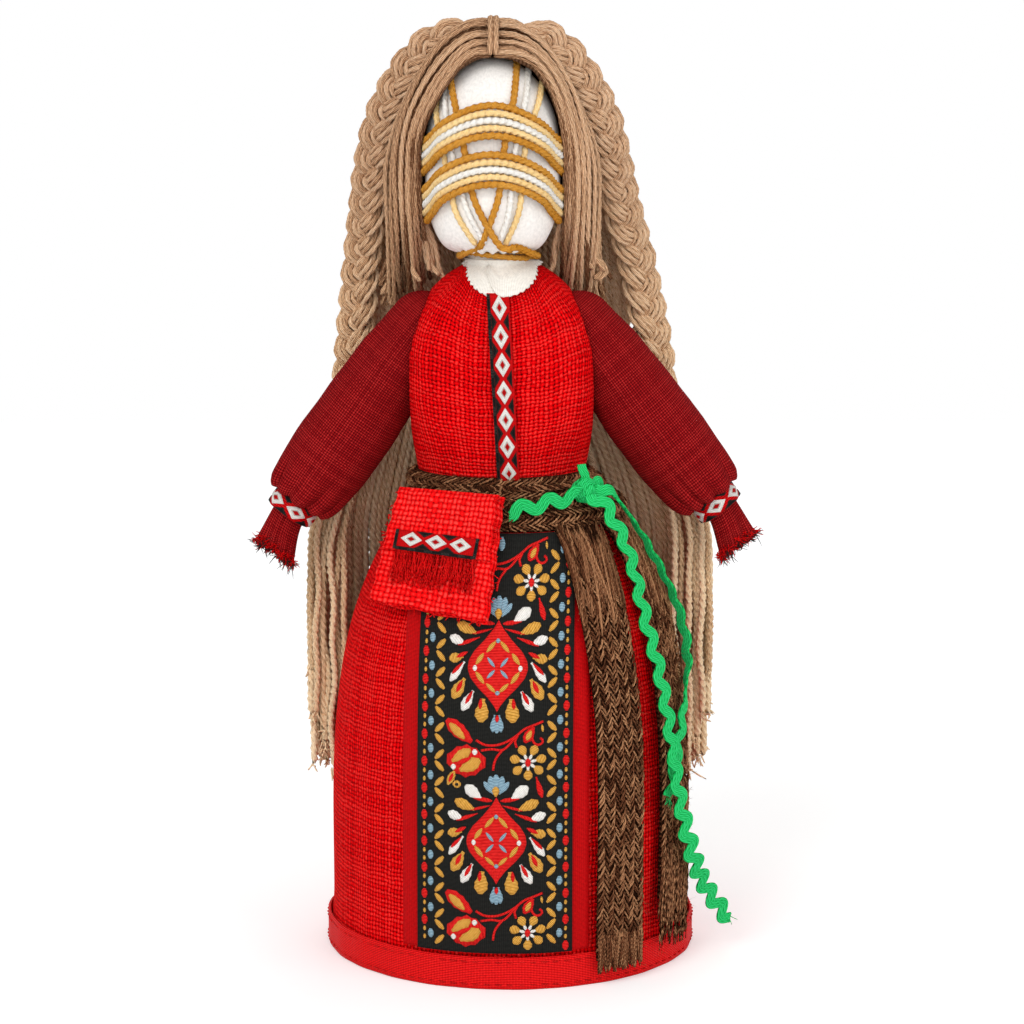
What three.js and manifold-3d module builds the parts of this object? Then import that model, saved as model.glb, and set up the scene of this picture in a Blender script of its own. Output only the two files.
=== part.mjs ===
// Motanka: a wound rag doll with a stuffed skirt, a yarn cross on the face, corded hair and woven trims.
// Millimetres, +Z up. The doll faces -Y and the origin is the middle of the base.

import * as THREE from 'three';
import { mergeVertices } from 'three/addons/utils/BufferGeometryUtils.js';
import Module from 'manifold-3d';

const wasm = await Module();
wasm.setup();

// Fits
const gap = 0.3;
const woundGap = 0.6;
const sewnGap = 0.5;
const letInGap = 0.4;
const weldDistance = 1e-3;

// Cloth and stuffing
const clothThickness = 1;
const trimThickness = 0.6;

// Skirt, standing on a card disc
const hemRadius = 58.5;
const waistRadius = 26.5;
const waistHeight = 153;
const skirtFullness = 4.3;
const baseThickness = 2;
const hemBandHeight = 10.5;
const hemBandThickness = 0.8;

// Apron ribbon on its backing
const apronAzimuth = -5;
const apronWidth = 50;
const apronBackingWidth = 61;
const apronBackingThickness = 0.5;
const apronBottomRise = 1.5;

// Rolled cloth core
const coreRadius = 8;
const coreX = -4;
const coreReach = 22;

// Bodice
const bodiceX = -2.8;
const bodiceDepthRatio = 0.88;
const chestRadius = 30.6;
const chestRise = 38;
const domeHeight = 33;
const neckRise = 67;
const bodiceWaistRadius = 26.3;
const placketWidth = 5.6;
const placketTopX = -3.8;
const placketBottomX = -0.4;
const placketTopDrop = 1;

// Neck and collar
const neckRadius = 10.2;
const neckLength = 14;
const collarHeight = 9;
const collarThickness = 1.2;
const collarRise = 2;
const collarHalves = { left: [184, 354], right: [6, 176] };

// Head
const headX = -5.5;
const headRise = 36;
const headHalfWidth = 21.6;
const headHalfDepth = 21;
const headHalfHeight = 31;
const headHoleRadius = 10.8;

// Face yarn
const yarnDiameter = 1.5;
const yarnPitch = 2.15;
const upperBandRise = 12;
const lowerBandRise = -3;
const bandDrop = 13;
const bandStepDown = 6;
const bandFrontLift = [0.4, 0.65];
const bandBackLift = [0.6, 0.85];
const neckTieLoops = 2;
const strandTops = [-14, -11.4, -8.8, 3.5, 7.5, 11.5];
const strandChinAngle = 140;
const strandGatherAngle = 60;

// Hair
const capEase = 0.8;
const hairCapThickness = 6.5;
const hairTopThickness = 7.5;
const hairCapBottomDrop = 9;
const partingWidth = 0.6;
const partingTieLength = 13;
const partingTieDiameter = 2.4;
const partingTieAngle = 8;
const braidWidth = 14.5;
const braidDepth = 10;
const braidRightSplay = 7;
const braidSplayDrop = [3, 66];
const braidEndShare = 0.45;
const braidRoute = [
  [12, -3, 40], [24, 0, 30], [33.5, 5, 13], [38, 11, -3], [40.5, 19, -20], [42.5, 25, -36],
  [45.5, 26.5, -66], [47.5, 27, -91],
];
const faceOpeningTop = 33;
const faceOpeningSide = [[11, 24], [20.5, 12], [24.5, -2], [27, -20]];
const sideLockRadius = 3;
const sideLockEndShare = 0.6;
const sideLockRoute = [[0, 1, -10], [-1.5, 4, -18], [-6, 8, -28], [-8.5, 10, -35]];
const backHairThickness = 6.5;
const backHairLocks = 3;
const backHairLockGap = 1.2;
const backHairEndHeight = 52;
const backHairTopHalfWidth = 40;
const backHairEndHalfWidth = 66;
const backHairTopBack = 38;
const backHairTopSide = 32;
const backHairEndSide = 18;
const backHairSpreadDrop = [56, 130];
const backHairWrapDrop = [96, 146];

// Arms
const shoulderX = 25.2;
const shoulderRise = 49;
const armHang = { left: 35.5, right: 37.5 };
const armLower = 5;
const armRootRadius = 11;
const sleeveRadius = 14;
const sleeveFullAt = 40;
const sleeveBlunt = 2.6;
const sleeveLength = 69;
const sleeveThickness = 0.8;
const wristRadius = 6.6;
const cuffWidth = 6;
const cuffThickness = 0.8;
const handRadius = 4.8;
const handEndRadius = 6.5;
const handLength = 16;
const handRoot = 5;
const handFlareAt = 0.3;

// Sash
const sashThickness = 4.6;
const sashUpperRise = 4;
const sashUpperHalfWidth = 3.3;
const sashLowerDrop = 7;
const sashLowerHalfWidth = 4.8;
const sashRound = [[-1, 0.3], [0, 1], [1, 0.3]];
const sashTailWidth = 18;
const sashTailThickness = 2.4;
const sashTailTopRise = 0.5;
const sashTailFront = { top: 35, bottom: 34.5, end: 4 };
const sashTailSide = { top: 64, bottom: 57, end: 7 };

// Wavy ribbon
const ribbonWidth = 6;
const ribbonThickness = 1.2;
const ribbonBeltStart = 1;
const ribbonBeltEnd = 31;
const ribbonBeltRise = 2.6;
const knotAzimuth = 40;
const knotRadius = 5;
const knotSeat = 0.55;
const ribbonLongRoute = [
  [29, -31.6, 149.8], [33, -32.5, 140], [36, -35.5, 131.5], [41, -41, 113], [44.5, -42, 100.5],
  [47.5, -43, 88], [51, -43, 69], [53.5, -41.5, 55], [58, -35, 37], [63, -24, 23], [71, -14, 9.5],
];
const ribbonShortRoute = [
  [32.5, -26.5, 151.5], [41, -18.5, 138.5], [48, -19.5, 126], [53.5, -17.5, 113.5], [56.5, -20, 99.5],
  [55.3, -29.5, 85.5], [53, -35.5, 72], [50.3, -39.8, 57],
];

// Purse
const purseAzimuth = -27;
const purseTopWidth = 33;
const purseBottomWidth = 39;
const purseLength = 38;
const purseRise = 1.5;
const purseSeatShare = 0.92;
const purseCloth = 1.3;
const purseMouthDrop = 2;
const flapLength = 17.5;
const flapInset = 0.8;
const fringeLength = 11;
const fringeThickness = 0.9;
const purseTrimWidth = 5.6;
const purseTrimInset = 4;

// Smoothness
const skirtSegments = 32;
const skirtSteps = 7;
const skirtCrowding = 0.7;
const coreSegments = 20;
const apronSteps = 10;
const bodiceSegments = 24;
const bodiceSteps = { below: 4, above: 6 };
const placketSteps = { across: 3, along: 10 };
const neckSegments = 24;
const collarSteps = { around: 10, up: 2 };
const headSegments = 24;
const headSteps = 9;
const armSegments = 14;
const sleeveSteps = { root: 3, upper: 3, lower: 5 };
const armholeSegments = 12;
const armholeRings = 8;
const loopSteps = 24;
const yarnSides = 6;
const strandSteps = 16;
const hairCapSides = { around: 24, up: 14 };
const partingTieSides = 8;
const partingTieSteps = 6;
const braidSides = 10;
const braidSteps = 14;
const sideLockSides = 8;
const sideLockSteps = 6;
const backHairSteps = { across: 4, along: 12 };
const sashTailSteps = { across: 3, along: 12 };
const ribbonSteps = 24;
const ribbonBeltSteps = 8;
const knotSides = { around: 12, up: 8 };
const purseSteps = 2;

const colours = {
  burlap: 0xcd161a,
  wine: 0x6e141c,
  cream: 0xf0ece4,
  stuffing: 0xe9e4da,
  card: 0xb89a6e,
  ribbonBlack: 0x1c1c1a,
  redRibbon: 0xb81420,
  ochre: 0xc88223,
  yellow: 0xf2d296,
  hair: 0xa5805c,
  hairEnds: 0xbe9b6e,
  wool: 0x69462d,
  green: 0x1ebe5f,
};

const doll = new THREE.Group();

function cloth(colour, roughness = 0.9) {
  return new THREE.MeshStandardMaterial({ color: colour, roughness, metalness: 0 });
}

function degrees(angle) {
  return THREE.MathUtils.degToRad(angle);
}

function smooth(value, from, to) {
  const share = THREE.MathUtils.clamp((value - from) / (to - from), 0, 1);
  return share * share * (3 - 2 * share);
}

// Leaves one set of welded points with its faces pointing out.
function closed(geometry) {
  geometry.deleteAttribute('normal');
  geometry.deleteAttribute('uv');
  const welded = mergeVertices(geometry, weldDistance);
  const corners = welded.index.array;
  const position = welded.attributes.position;
  const kept = [];
  const a = new THREE.Vector3();
  const b = new THREE.Vector3();
  const c = new THREE.Vector3();
  let volume = 0;
  for (let i = 0; i < corners.length; i += 3) {
    const [p, q, r] = [corners[i], corners[i + 1], corners[i + 2]];
    if (p === q || q === r || r === p) continue;
    kept.push(p, q, r);
    a.fromBufferAttribute(position, p);
    b.fromBufferAttribute(position, q);
    c.fromBufferAttribute(position, r);
    volume += a.dot(b.cross(c));
  }
  welded.setIndex(volume < 0 ? kept.reverse() : kept);
  welded.computeVertexNormals();
  return welded;
}

function toSolid(geometry) {
  const welded = closed(geometry.clone());
  const vertProperties = new Float32Array(welded.attributes.position.array);
  const triVerts = new Uint32Array(welded.index.array);
  return new wasm.Manifold(new wasm.Mesh({ numProp: 3, vertProperties, triVerts }));
}

function toGeometry(solid) {
  const mesh = solid.getMesh();
  const geometry = new THREE.BufferGeometry();
  geometry.setAttribute('position', new THREE.BufferAttribute(new Float32Array(mesh.vertProperties), 3));
  geometry.setIndex(Array.from(mesh.triVerts));
  geometry.computeVertexNormals();
  return geometry;
}

function addPart(name, geometry, material, parent = doll) {
  const mesh = new THREE.Mesh(closed(geometry), material);
  mesh.name = name;
  parent.add(mesh);
  return mesh;
}

// A turned solid from [radius, height] pairs, standing on +Z.
function turned(profile, segments) {
  const points = profile.map(([radius, height]) => new THREE.Vector2(radius, height));
  const geometry = new THREE.LatheGeometry(points, segments);
  geometry.rotateX(Math.PI / 2);
  return geometry;
}

// A closed sheet between two surfaces, each a function of two shares from 0 to 1.
function sheet(acrossSteps, alongSteps, outer, inner) {
  const row = acrossSteps + 1;
  const layer = row * (alongSteps + 1);
  const positions = [];
  const corners = [];
  for (const surface of [outer, inner]) {
    for (let j = 0; j <= alongSteps; j += 1) {
      for (let i = 0; i <= acrossSteps; i += 1) positions.push(...surface(i / acrossSteps, j / alongSteps));
    }
  }
  const quad = (p, q, r, s) => corners.push(p, q, r, p, r, s);
  for (let j = 0; j < alongSteps; j += 1) {
    for (let i = 0; i < acrossSteps; i += 1) {
      const p = j * row + i;
      quad(p, p + 1, p + row + 1, p + row);
      quad(layer + p, layer + p + row, layer + p + row + 1, layer + p + 1);
    }
    const left = j * row;
    const right = left + acrossSteps;
    quad(left, left + row, layer + left + row, layer + left);
    quad(right, layer + right, layer + right + row, right + row);
  }
  for (let i = 0; i < acrossSteps; i += 1) {
    const far = alongSteps * row + i;
    quad(i, layer + i, layer + i + 1, i + 1);
    quad(far, far + 1, layer + far + 1, layer + far);
  }
  const geometry = new THREE.BufferGeometry();
  geometry.setAttribute('position', new THREE.Float32BufferAttribute(positions, 3));
  geometry.setIndex(corners);
  return geometry;
}

// A round cord along a curve.
function cord(curve, diameter, sides, steps) {
  const corners = heights(0, 2 * Math.PI, sides).slice(1).map((turn) => {
    return new THREE.Vector2(Math.cos(turn), Math.sin(turn)).multiplyScalar(diameter / 2);
  });
  return new THREE.ExtrudeGeometry(new THREE.Shape(corners), { extrudePath: curve, steps });
}

// An oval rope along a curve, wide across the front view, with its size eased in at both ends.
function rope(curve, width, depth, sides, steps, endShare) {
  const view = new THREE.Vector3(0, 1, 0);
  const positions = [];
  const corners = [];
  for (let j = 0; j <= steps; j += 1) {
    const share = j / steps;
    const centre = curve.getPointAt(share);
    const along = curve.getTangentAt(share);
    const across = new THREE.Vector3().crossVectors(along, view).normalize();
    const out = new THREE.Vector3().crossVectors(across, along).normalize();
    const size = endShare + (1 - endShare) * smooth(Math.min(share, 1 - share), 0, 2 / steps);
    for (let i = 0; i < sides; i += 1) {
      const turn = (2 * Math.PI * i) / sides;
      const point = centre.clone();
      point.addScaledVector(across, 0.5 * width * size * Math.cos(turn));
      point.addScaledVector(out, 0.5 * depth * size * Math.sin(turn));
      positions.push(point.x, point.y, point.z);
      const next = (i + 1) % sides;
      const [p, q] = [j * sides + i, j * sides + next];
      if (j < steps) corners.push(p, q, q + sides, p, q + sides, p + sides);
      if (j === 0 && i > 0 && i < sides - 1) corners.push(0, next, i);
      if (j === steps && i > 0 && i < sides - 1) corners.push(steps * sides, p, q);
    }
  }
  const geometry = new THREE.BufferGeometry();
  geometry.setAttribute('position', new THREE.Float32BufferAttribute(positions, 3));
  geometry.setIndex(corners);
  return geometry;
}

function box(width, depth, height, x, y, z) {
  const geometry = new THREE.BoxGeometry(width, depth, height);
  geometry.translate(x, y, z);
  return geometry;
}

function ball(x, y, z, halfWidth, halfDepth, halfHeight, across, up) {
  const geometry = new THREE.SphereGeometry(1, across, up);
  geometry.rotateX(Math.PI / 2);
  geometry.scale(halfWidth, halfDepth, halfHeight);
  geometry.translate(x, y, z);
  return geometry;
}

// Heights that the pieces share
const bodiceBottom = waistHeight + gap;
const chestHeight = waistHeight + chestRise;
const bodiceTop = waistHeight + neckRise;
const headHeight = bodiceTop + headRise;
const shoulderHeight = waistHeight + shoulderRise;
const skirtBottom = gap;

function skirtRadius(height) {
  const share = THREE.MathUtils.clamp(height / waistHeight, 0, 1);
  return waistRadius + (hemRadius - waistRadius) * (1 - share ** skirtFullness);
}

function bodiceRadius(height) {
  if (height > chestHeight) return chestRadius * Math.sqrt(1 - ((height - chestHeight) / domeHeight) ** 2);
  const share = (chestHeight - height) / chestRise;
  return chestRadius - (chestRadius - bodiceWaistRadius) * share * share;
}

function onSkirt(azimuth, height, offset) {
  const radius = skirtRadius(height) + offset;
  return [radius * Math.sin(degrees(azimuth)), -radius * Math.cos(degrees(azimuth)), height];
}

function onBodice(x, height, offset) {
  const radius = bodiceRadius(height);
  const depth = radius * bodiceDepthRatio * Math.sqrt(1 - ((x - bodiceX) / radius) ** 2);
  return [x, -depth - offset, height];
}

function heights(from, to, steps) {
  return Array.from({ length: steps + 1 }, (_, i) => from + ((to - from) * i) / steps);
}

// Levels up the skirt, closer together where it turns in to the waist, cut off at two heights.
function skirtLevels(from, to) {
  const levels = heights(0, 1, skirtSteps).map((share) => waistHeight * share ** skirtCrowding);
  return [from, ...levels.filter((z) => z > from + 1 && z < to - 1), to];
}

// Core: a tight roll of cloth from the base disc up into the head.
const coreBottom = baseThickness + gap;
const coreTop = bodiceTop + neckLength + coreReach;
function coreRoll(grow) {
  const profile = [
    [0, coreBottom - grow], [coreRadius + grow, coreBottom - grow], [coreRadius + grow, coreTop + grow],
    [0, coreTop + grow],
  ];
  const geometry = turned(profile, coreSegments);
  geometry.translate(coreX, 0, 0);
  return geometry;
}
const coreHole = toSolid(coreRoll(gap));

function addSkirt() {
  const base = skirtRadius(0) - clothThickness - gap;
  const disc = [[0, 0], [base, 0], [base, baseThickness], [0, baseThickness]];
  addPart('base_disc', turned(disc, skirtSegments), cloth(colours.card));
  addPart('core_roll', coreRoll(0), cloth(colours.stuffing));

  const outside = skirtLevels(skirtBottom, waistHeight).map((z) => [skirtRadius(z), z]);
  const inside = outside.map(([radius, z]) => [radius - clothThickness, z]).reverse();
  addPart('skirt_shell', turned([...outside, ...inside, outside[0]], skirtSegments), cloth(colours.burlap));

  const fillBottom = baseThickness + gap;
  const fill = skirtLevels(fillBottom, waistHeight).map((z) => [skirtRadius(z) - clothThickness - gap, z]);
  const wadding = toSolid(turned([[0, fillBottom], ...fill, [0, waistHeight]], skirtSegments));
  addPart('skirt_stuffing', toGeometry(wadding.subtract(coreHole)), cloth(colours.stuffing));

  const band = [0, hemBandHeight].map((z) => [skirtRadius(z) + gap + hemBandThickness, z]);
  const bandInside = [[band[1][0] - hemBandThickness, hemBandHeight], [band[0][0] - hemBandThickness, 0]];
  addPart('hem_band', turned([...band, ...bandInside, band[0]], skirtSegments), cloth(colours.redRibbon));
}

// Apron: a jacquard ribbon sewn on a wider plain ribbon, from the sash down to the hem band.
const apronBottom = hemBandHeight + apronBottomRise;
const apronTop = waistHeight - sashLowerDrop - sashLowerHalfWidth - gap;
const apronBackingOffset = sewnGap;
const apronRibbonOffset = apronBackingOffset + apronBackingThickness + gap;
const apronStack = apronRibbonOffset + trimThickness;

function apronLayer(width, offset, thickness) {
  const levels = skirtLevels(apronBottom, apronTop);
  const rows = levels.length - 1;
  const at = (lift) => (s, t) => {
    const height = levels[Math.round(t * rows)];
    const halfAngle = THREE.MathUtils.radToDeg(width / 2 / (skirtRadius(height) + offset));
    return onSkirt(apronAzimuth + halfAngle * (2 * s - 1), height, offset + lift);
  };
  return sheet(apronSteps, rows, at(thickness), at(0));
}

function addApron() {
  const backing = apronLayer(apronBackingWidth, apronBackingOffset, apronBackingThickness);
  addPart('apron_backing', backing, cloth(colours.redRibbon));
  const ribbon = apronLayer(apronWidth, apronRibbonOffset, trimThickness);
  addPart('apron_ribbon', ribbon, cloth(colours.ribbonBlack));
}

// Arms: a sleeve with a round root on the shoulder hinge, a bound wrist and a frayed hand.
function sleeveOutline(grow) {
  const outline = heights(0, 90, sleeveSteps.root).map((angle) => {
    const turn = degrees(angle);
    return [(armRootRadius + grow) * Math.sin(turn), -(armRootRadius + grow) * Math.cos(turn)];
  });
  for (const s of heights(0, sleeveFullAt, sleeveSteps.upper).slice(1)) {
    const swell = (sleeveRadius - armRootRadius) * Math.sin((Math.PI / 2) * (s / sleeveFullAt));
    outline.push([armRootRadius + swell + grow, s]);
  }
  for (const s of heights(sleeveFullAt, sleeveLength, sleeveSteps.lower).slice(1)) {
    const share = (s - sleeveFullAt) / (sleeveLength - sleeveFullAt);
    const full = Math.cos((Math.PI / 2) * share ** sleeveBlunt);
    outline.push([wristRadius + (sleeveRadius - wristRadius) * full + grow, s]);
  }
  return outline;
}

function armGroup(side, lift) {
  const group = new THREE.Group();
  const sign = side === 'left' ? -1 : 1;
  group.position.set(bodiceX + sign * shoulderX, 0, shoulderHeight);
  group.rotation.y = Math.PI - sign * degrees(armHang[side] + lift);
  group.updateMatrixWorld();
  return group;
}

function addArm(side) {
  const group = armGroup(side, 0);
  doll.add(group);
  const cuffEnd = sleeveLength + cuffWidth;
  const outside = [...sleeveOutline(0), [wristRadius, cuffEnd]];
  const inside = [[wristRadius - sleeveThickness, cuffEnd], ...sleeveOutline(-sleeveThickness).reverse()];
  addPart(`sleeve_${side}`, turned([...outside, ...inside], armSegments), cloth(colours.wine), group);

  const handStart = sleeveLength - handRoot;
  const fill = sleeveOutline(-sleeveThickness - gap).filter(([, s]) => s < handStart - gap);
  const fillEnd = [0, fill[fill.length - 1][1]];
  addPart(`arm_stuffing_${side}`, turned([...fill, fillEnd], armSegments), cloth(colours.stuffing), group);

  const cuffRadius = wristRadius + gap;
  const cuff = [
    [cuffRadius, sleeveLength + gap], [cuffRadius, cuffEnd], [cuffRadius + cuffThickness, cuffEnd],
    [cuffRadius + cuffThickness, sleeveLength + gap], [cuffRadius, sleeveLength + gap],
  ];
  addPart(`cuff_${side}`, turned(cuff, armSegments), cloth(colours.redRibbon), group);

  const handEnd = cuffEnd + handLength;
  const hand = [
    [0, handStart], [handRadius, handStart], [handRadius, cuffEnd + handFlareAt * handLength],
    [handEndRadius, handEnd], [0, handEnd],
  ];
  addPart(`hand_${side}`, turned(hand, armSegments), cloth(colours.wine), group);
}

// The room that an arm needs in the bodice: its round root, and the sleeve at its lowest.
function armhole(side) {
  const facetMargin = sleeveRadius * (1 - Math.cos(Math.PI / armholeSegments));
  const grow = letInGap + facetMargin;
  const arm = armGroup(side, -armLower);
  const { x, y, z } = arm.position;
  const rootRadius = armRootRadius + grow;
  const root = toSolid(ball(x, y, z, rootRadius, rootRadius, rootRadius, armholeSegments, armholeRings));
  const outline = sleeveOutline(grow).filter(([, s]) => s > -weldDistance && s <= sleeveFullAt);
  const sleeve = toSolid(turned([[0, 0], ...outline, [0, sleeveFullAt]], armholeSegments));
  return root.add(sleeve.transform(arm.matrixWorld.elements.slice()));
}

// Bodice: a stuffed bust with an armhole on each side, and a trim down its front.
function addBodice() {
  const armholes = armhole('left').add(armhole('right'));
  const levels = [
    ...heights(bodiceBottom, chestHeight, bodiceSteps.below),
    ...heights(chestHeight, bodiceTop, bodiceSteps.above).slice(1),
  ];
  const bust = (profile) => {
    const geometry = turned(profile, bodiceSegments);
    geometry.scale(1, bodiceDepthRatio, 1);
    geometry.translate(bodiceX, 0, 0);
    return toSolid(geometry);
  };
  const outside = levels.map((z) => [bodiceRadius(z), z]);
  const inside = outside.map(([radius, z]) => [radius - clothThickness, z]).reverse();
  const shell = bust([...outside, ...inside, outside[0]]).subtract(armholes);
  addPart('bodice_shell', toGeometry(shell), cloth(colours.burlap));

  const fillTop = bodiceTop - collarHeight - gap;
  const fillLevels = levels.filter((z) => z < fillTop);
  const fill = [...fillLevels, fillTop].map((z) => [bodiceRadius(z) - clothThickness - gap, z]);
  const stuffing = bust([[0, bodiceBottom], ...fill, [0, fillTop]]).subtract(armholes).subtract(coreHole);
  addPart('torso_stuffing', toGeometry(stuffing), cloth(colours.stuffing));

  const trimBottom = waistHeight + sashUpperRise + sashUpperHalfWidth + gap;
  const trimTop = bodiceTop - placketTopDrop;
  const at = (lift) => (s, t) => {
    const height = trimBottom + (trimTop - trimBottom) * t;
    const middle = placketBottomX + (placketTopX - placketBottomX) * t;
    return onBodice(middle + placketWidth * (s - 0.5), height, gap + lift);
  };
  const trim = sheet(placketSteps.across, placketSteps.along, at(trimThickness), at(0));
  addPart('placket_trim', trim, cloth(colours.ribbonBlack));
}

// Neck: cloth wound on the core, with a collar in two halves round it.
function addNeck() {
  const bottom = bodiceTop - collarHeight;
  const top = bodiceTop + neckLength / 2;
  const tube = turned([[0, bottom], [neckRadius, bottom], [neckRadius, top], [0, top]], neckSegments);
  tube.translate(coreX, 0, 0);
  addPart('neck_wrap', toGeometry(toSolid(tube).subtract(coreHole)), cloth(colours.cream));

  for (const [side, [from, to]] of Object.entries(collarHalves)) {
    const at = (lift) => (s, t) => {
      const turn = degrees(from + (to - from) * s);
      const radius = neckRadius + gap + lift;
      const height = bodiceTop - collarHeight + gap + (collarHeight + collarRise) * t;
      return [coreX + radius * Math.sin(turn), -radius * Math.cos(turn), height];
    };
    const half = sheet(collarSteps.around, collarSteps.up, at(collarThickness), at(0));
    addPart(`collar_${side}`, half, cloth(colours.cream));
  }
}

// Head: a stuffed ball with its cover gathered in at the neck.
function headOutline(shrink) {
  const hole = Math.PI - Math.asin(headHoleRadius / headHalfWidth);
  return heights(hole, 0, headSteps).map((turn) => {
    const radius = (headHalfWidth - shrink) * Math.sin(turn);
    return [turn === 0 ? 0 : radius, (headHalfHeight - shrink) * Math.cos(turn)];
  });
}

function headForm(profile) {
  const geometry = turned(profile, headSegments);
  geometry.scale(1, headHalfDepth / headHalfWidth, 1);
  geometry.translate(headX, 0, headHeight);
  return toSolid(geometry);
}

function addHead() {
  const cover = headForm([...headOutline(0), ...headOutline(clothThickness).reverse(), headOutline(0)[0]]);
  addPart('head_cover', toGeometry(cover.subtract(coreHole)), cloth(colours.cream));
  const inside = headOutline(clothThickness + gap);
  const stuffing = headForm([[0, inside[0][1]], ...inside]).subtract(coreHole);
  addPart('head_stuffing', toGeometry(stuffing), cloth(colours.stuffing));
}

// Face yarn: strands laid over the head from chin to nape, and bands wound round it on top of them.
const strandOffset = woundGap + yarnDiameter / 2;
const overStrands = yarnDiameter + woundGap;

function strandPoint(across, turn, offset) {
  const narrow = Math.sqrt(1 - (across / headHalfWidth) ** 2);
  const y = -headHalfDepth * narrow * Math.sin(turn);
  const z = headHalfHeight * narrow * Math.cos(turn);
  const spot = new THREE.Vector3(across, y, z);
  const slope = [across / headHalfWidth ** 2, y / headHalfDepth ** 2, z / headHalfHeight ** 2];
  const outward = new THREE.Vector3(...slope).normalize();
  return spot.addScaledVector(outward, offset).add(new THREE.Vector3(headX, 0, headHeight));
}

function addStrands() {
  const strands = [
    ['face_strand_yellow_left', colours.yellow], ['face_strand_white_left', colours.cream],
    ['face_strand_ochre_left', colours.ochre], ['face_strand_ochre_right', colours.ochre],
    ['face_strand_white_right', colours.cream], ['face_strand_yellow_right', colours.yellow],
  ];
  const chinTurn = degrees(strandChinAngle);
  strands.forEach(([name, colour], i) => {
    const top = strandTops[i];
    const chin = (i - (strands.length - 1) / 2) * yarnPitch;
    const points = heights(chinTurn, -chinTurn, strandSteps).map((turn) => {
      const across = top + (chin - top) * smooth(Math.abs(turn), degrees(strandGatherAngle), chinTurn);
      return strandPoint(across, turn, strandOffset);
    });
    const curve = new THREE.CatmullRomCurve3(points);
    addPart(name, cord(curve, yarnDiameter, yarnSides, strandSteps), cloth(colour));
  });
}

// One point of a band: its azimuth from the front and its height above the middle of the head there.
function bandPoint(turn, rise) {
  const front = Math.cos(turn);
  const z = rise - bandDrop * (front > 0 ? Math.sin(turn) ** 2 : 1);
  const narrow = Math.sqrt(1 - (z / headHalfHeight) ** 2);
  const lift = smooth(Math.abs(front), ...(front > 0 ? bandFrontLift : bandBackLift));
  const offset = strandOffset + overStrands * lift;
  const x = headX + (headHalfWidth * narrow + offset) * Math.sin(turn);
  return new THREE.Vector3(x, -(headHalfDepth * narrow + offset) * front, headHeight + z);
}

// One unbroken yarn: round the head in the upper band, down behind it, and round again in the lower band.
function windingCurve(row) {
  const stepDown = 2 * Math.PI / loopSteps * bandStepDown;
  const start = Math.PI + stepDown / 2;
  const around = 2 * Math.PI - stepDown;
  const rounds = loopSteps - bandStepDown;
  const turns = heights(start, start + around, rounds);
  const upper = turns.map((turn) => bandPoint(turn, upperBandRise - row));
  const lower = turns.map((turn) => bandPoint(turn, lowerBandRise - row));
  const climb = heights(0, 1, bandStepDown).slice(1, -1).map((share) => {
    const rise = upperBandRise + (lowerBandRise - upperBandRise) * smooth(share, 0, 1) - row;
    return bandPoint(start + around + stepDown * share, rise);
  });
  return new THREE.CatmullRomCurve3([...upper, ...climb, ...lower]);
}

// The least distance between two stretches of one cord that are not next to each other.
function leastGap(curve, diameter, steps) {
  const points = curve.getSpacedPoints(steps);
  const apart = Math.ceil(loopSteps / 3);
  let least = Infinity;
  for (let i = 0; i < points.length; i += 1) {
    for (let j = i + apart; j < points.length; j += 1) {
      least = Math.min(least, points[i].distanceTo(points[j]));
    }
  }
  return least - diameter;
}

function addWinding(name, curve, loops, colour) {
  const steps = loopSteps * loops;
  addPart(name, cord(curve, yarnDiameter, yarnSides, steps), cloth(colour));
  console.log(`${name}: least gap to itself ${leastGap(curve, yarnDiameter, steps).toFixed(2)} mm`);
}

function addBands() {
  const yarns = [
    ['face_yarn_ochre_top', colours.ochre], ['face_yarn_yellow_top', colours.yellow],
    ['face_yarn_white', colours.cream], ['face_yarn_yellow_bottom', colours.yellow],
    ['face_yarn_ochre_bottom', colours.ochre],
  ];
  const loops = 2 - bandStepDown / loopSteps;
  yarns.forEach(([name, colour], i) => {
    addWinding(name, windingCurve((i - (yarns.length - 1) / 2) * yarnPitch), loops, colour);
  });

  const tieRadius = neckRadius + strandOffset;
  const tieBottom = bodiceTop + collarRise + gap + yarnDiameter;
  const turns = heights(0, 2 * Math.PI * neckTieLoops, loopSteps * neckTieLoops);
  const tie = turns.map((turn) => {
    const height = tieBottom + (yarnPitch * turn) / (2 * Math.PI);
    return new THREE.Vector3(coreX + tieRadius * Math.sin(turn), tieRadius * Math.cos(turn), height);
  });
  addWinding('neck_tie', new THREE.CatmullRomCurve3(tie), neckTieLoops, colours.ochre);
}

// Hair: cords swept down from the parting, a braid on each side and a curtain down the back.
const capHalfWidth = headHalfWidth + woundGap + yarnDiameter + capEase;
const capHalfDepth = headHalfDepth + 2 * (woundGap + yarnDiameter) + capEase;
const capHalfHeight = headHalfHeight + woundGap + yarnDiameter + capEase;
const capBottom = headHeight - hairCapBottomDrop;
const capTop = headHeight + capHalfHeight + hairTopThickness;

function braidCurve(sign) {
  const splay = sign > 0 ? braidRightSplay : 0;
  const points = braidRoute.map(([x, y, z]) => {
    const away = x + splay * smooth(-z, ...braidSplayDrop);
    return new THREE.Vector3(headX + sign * away, y, headHeight + z);
  });
  return new THREE.CatmullRomCurve3(points);
}

function braid(sign, grow) {
  const [width, depth] = [braidWidth + 2 * grow, braidDepth + 2 * grow];
  return rope(braidCurve(sign), width, depth, braidSides, braidSteps, braidEndShare);
}

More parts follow.
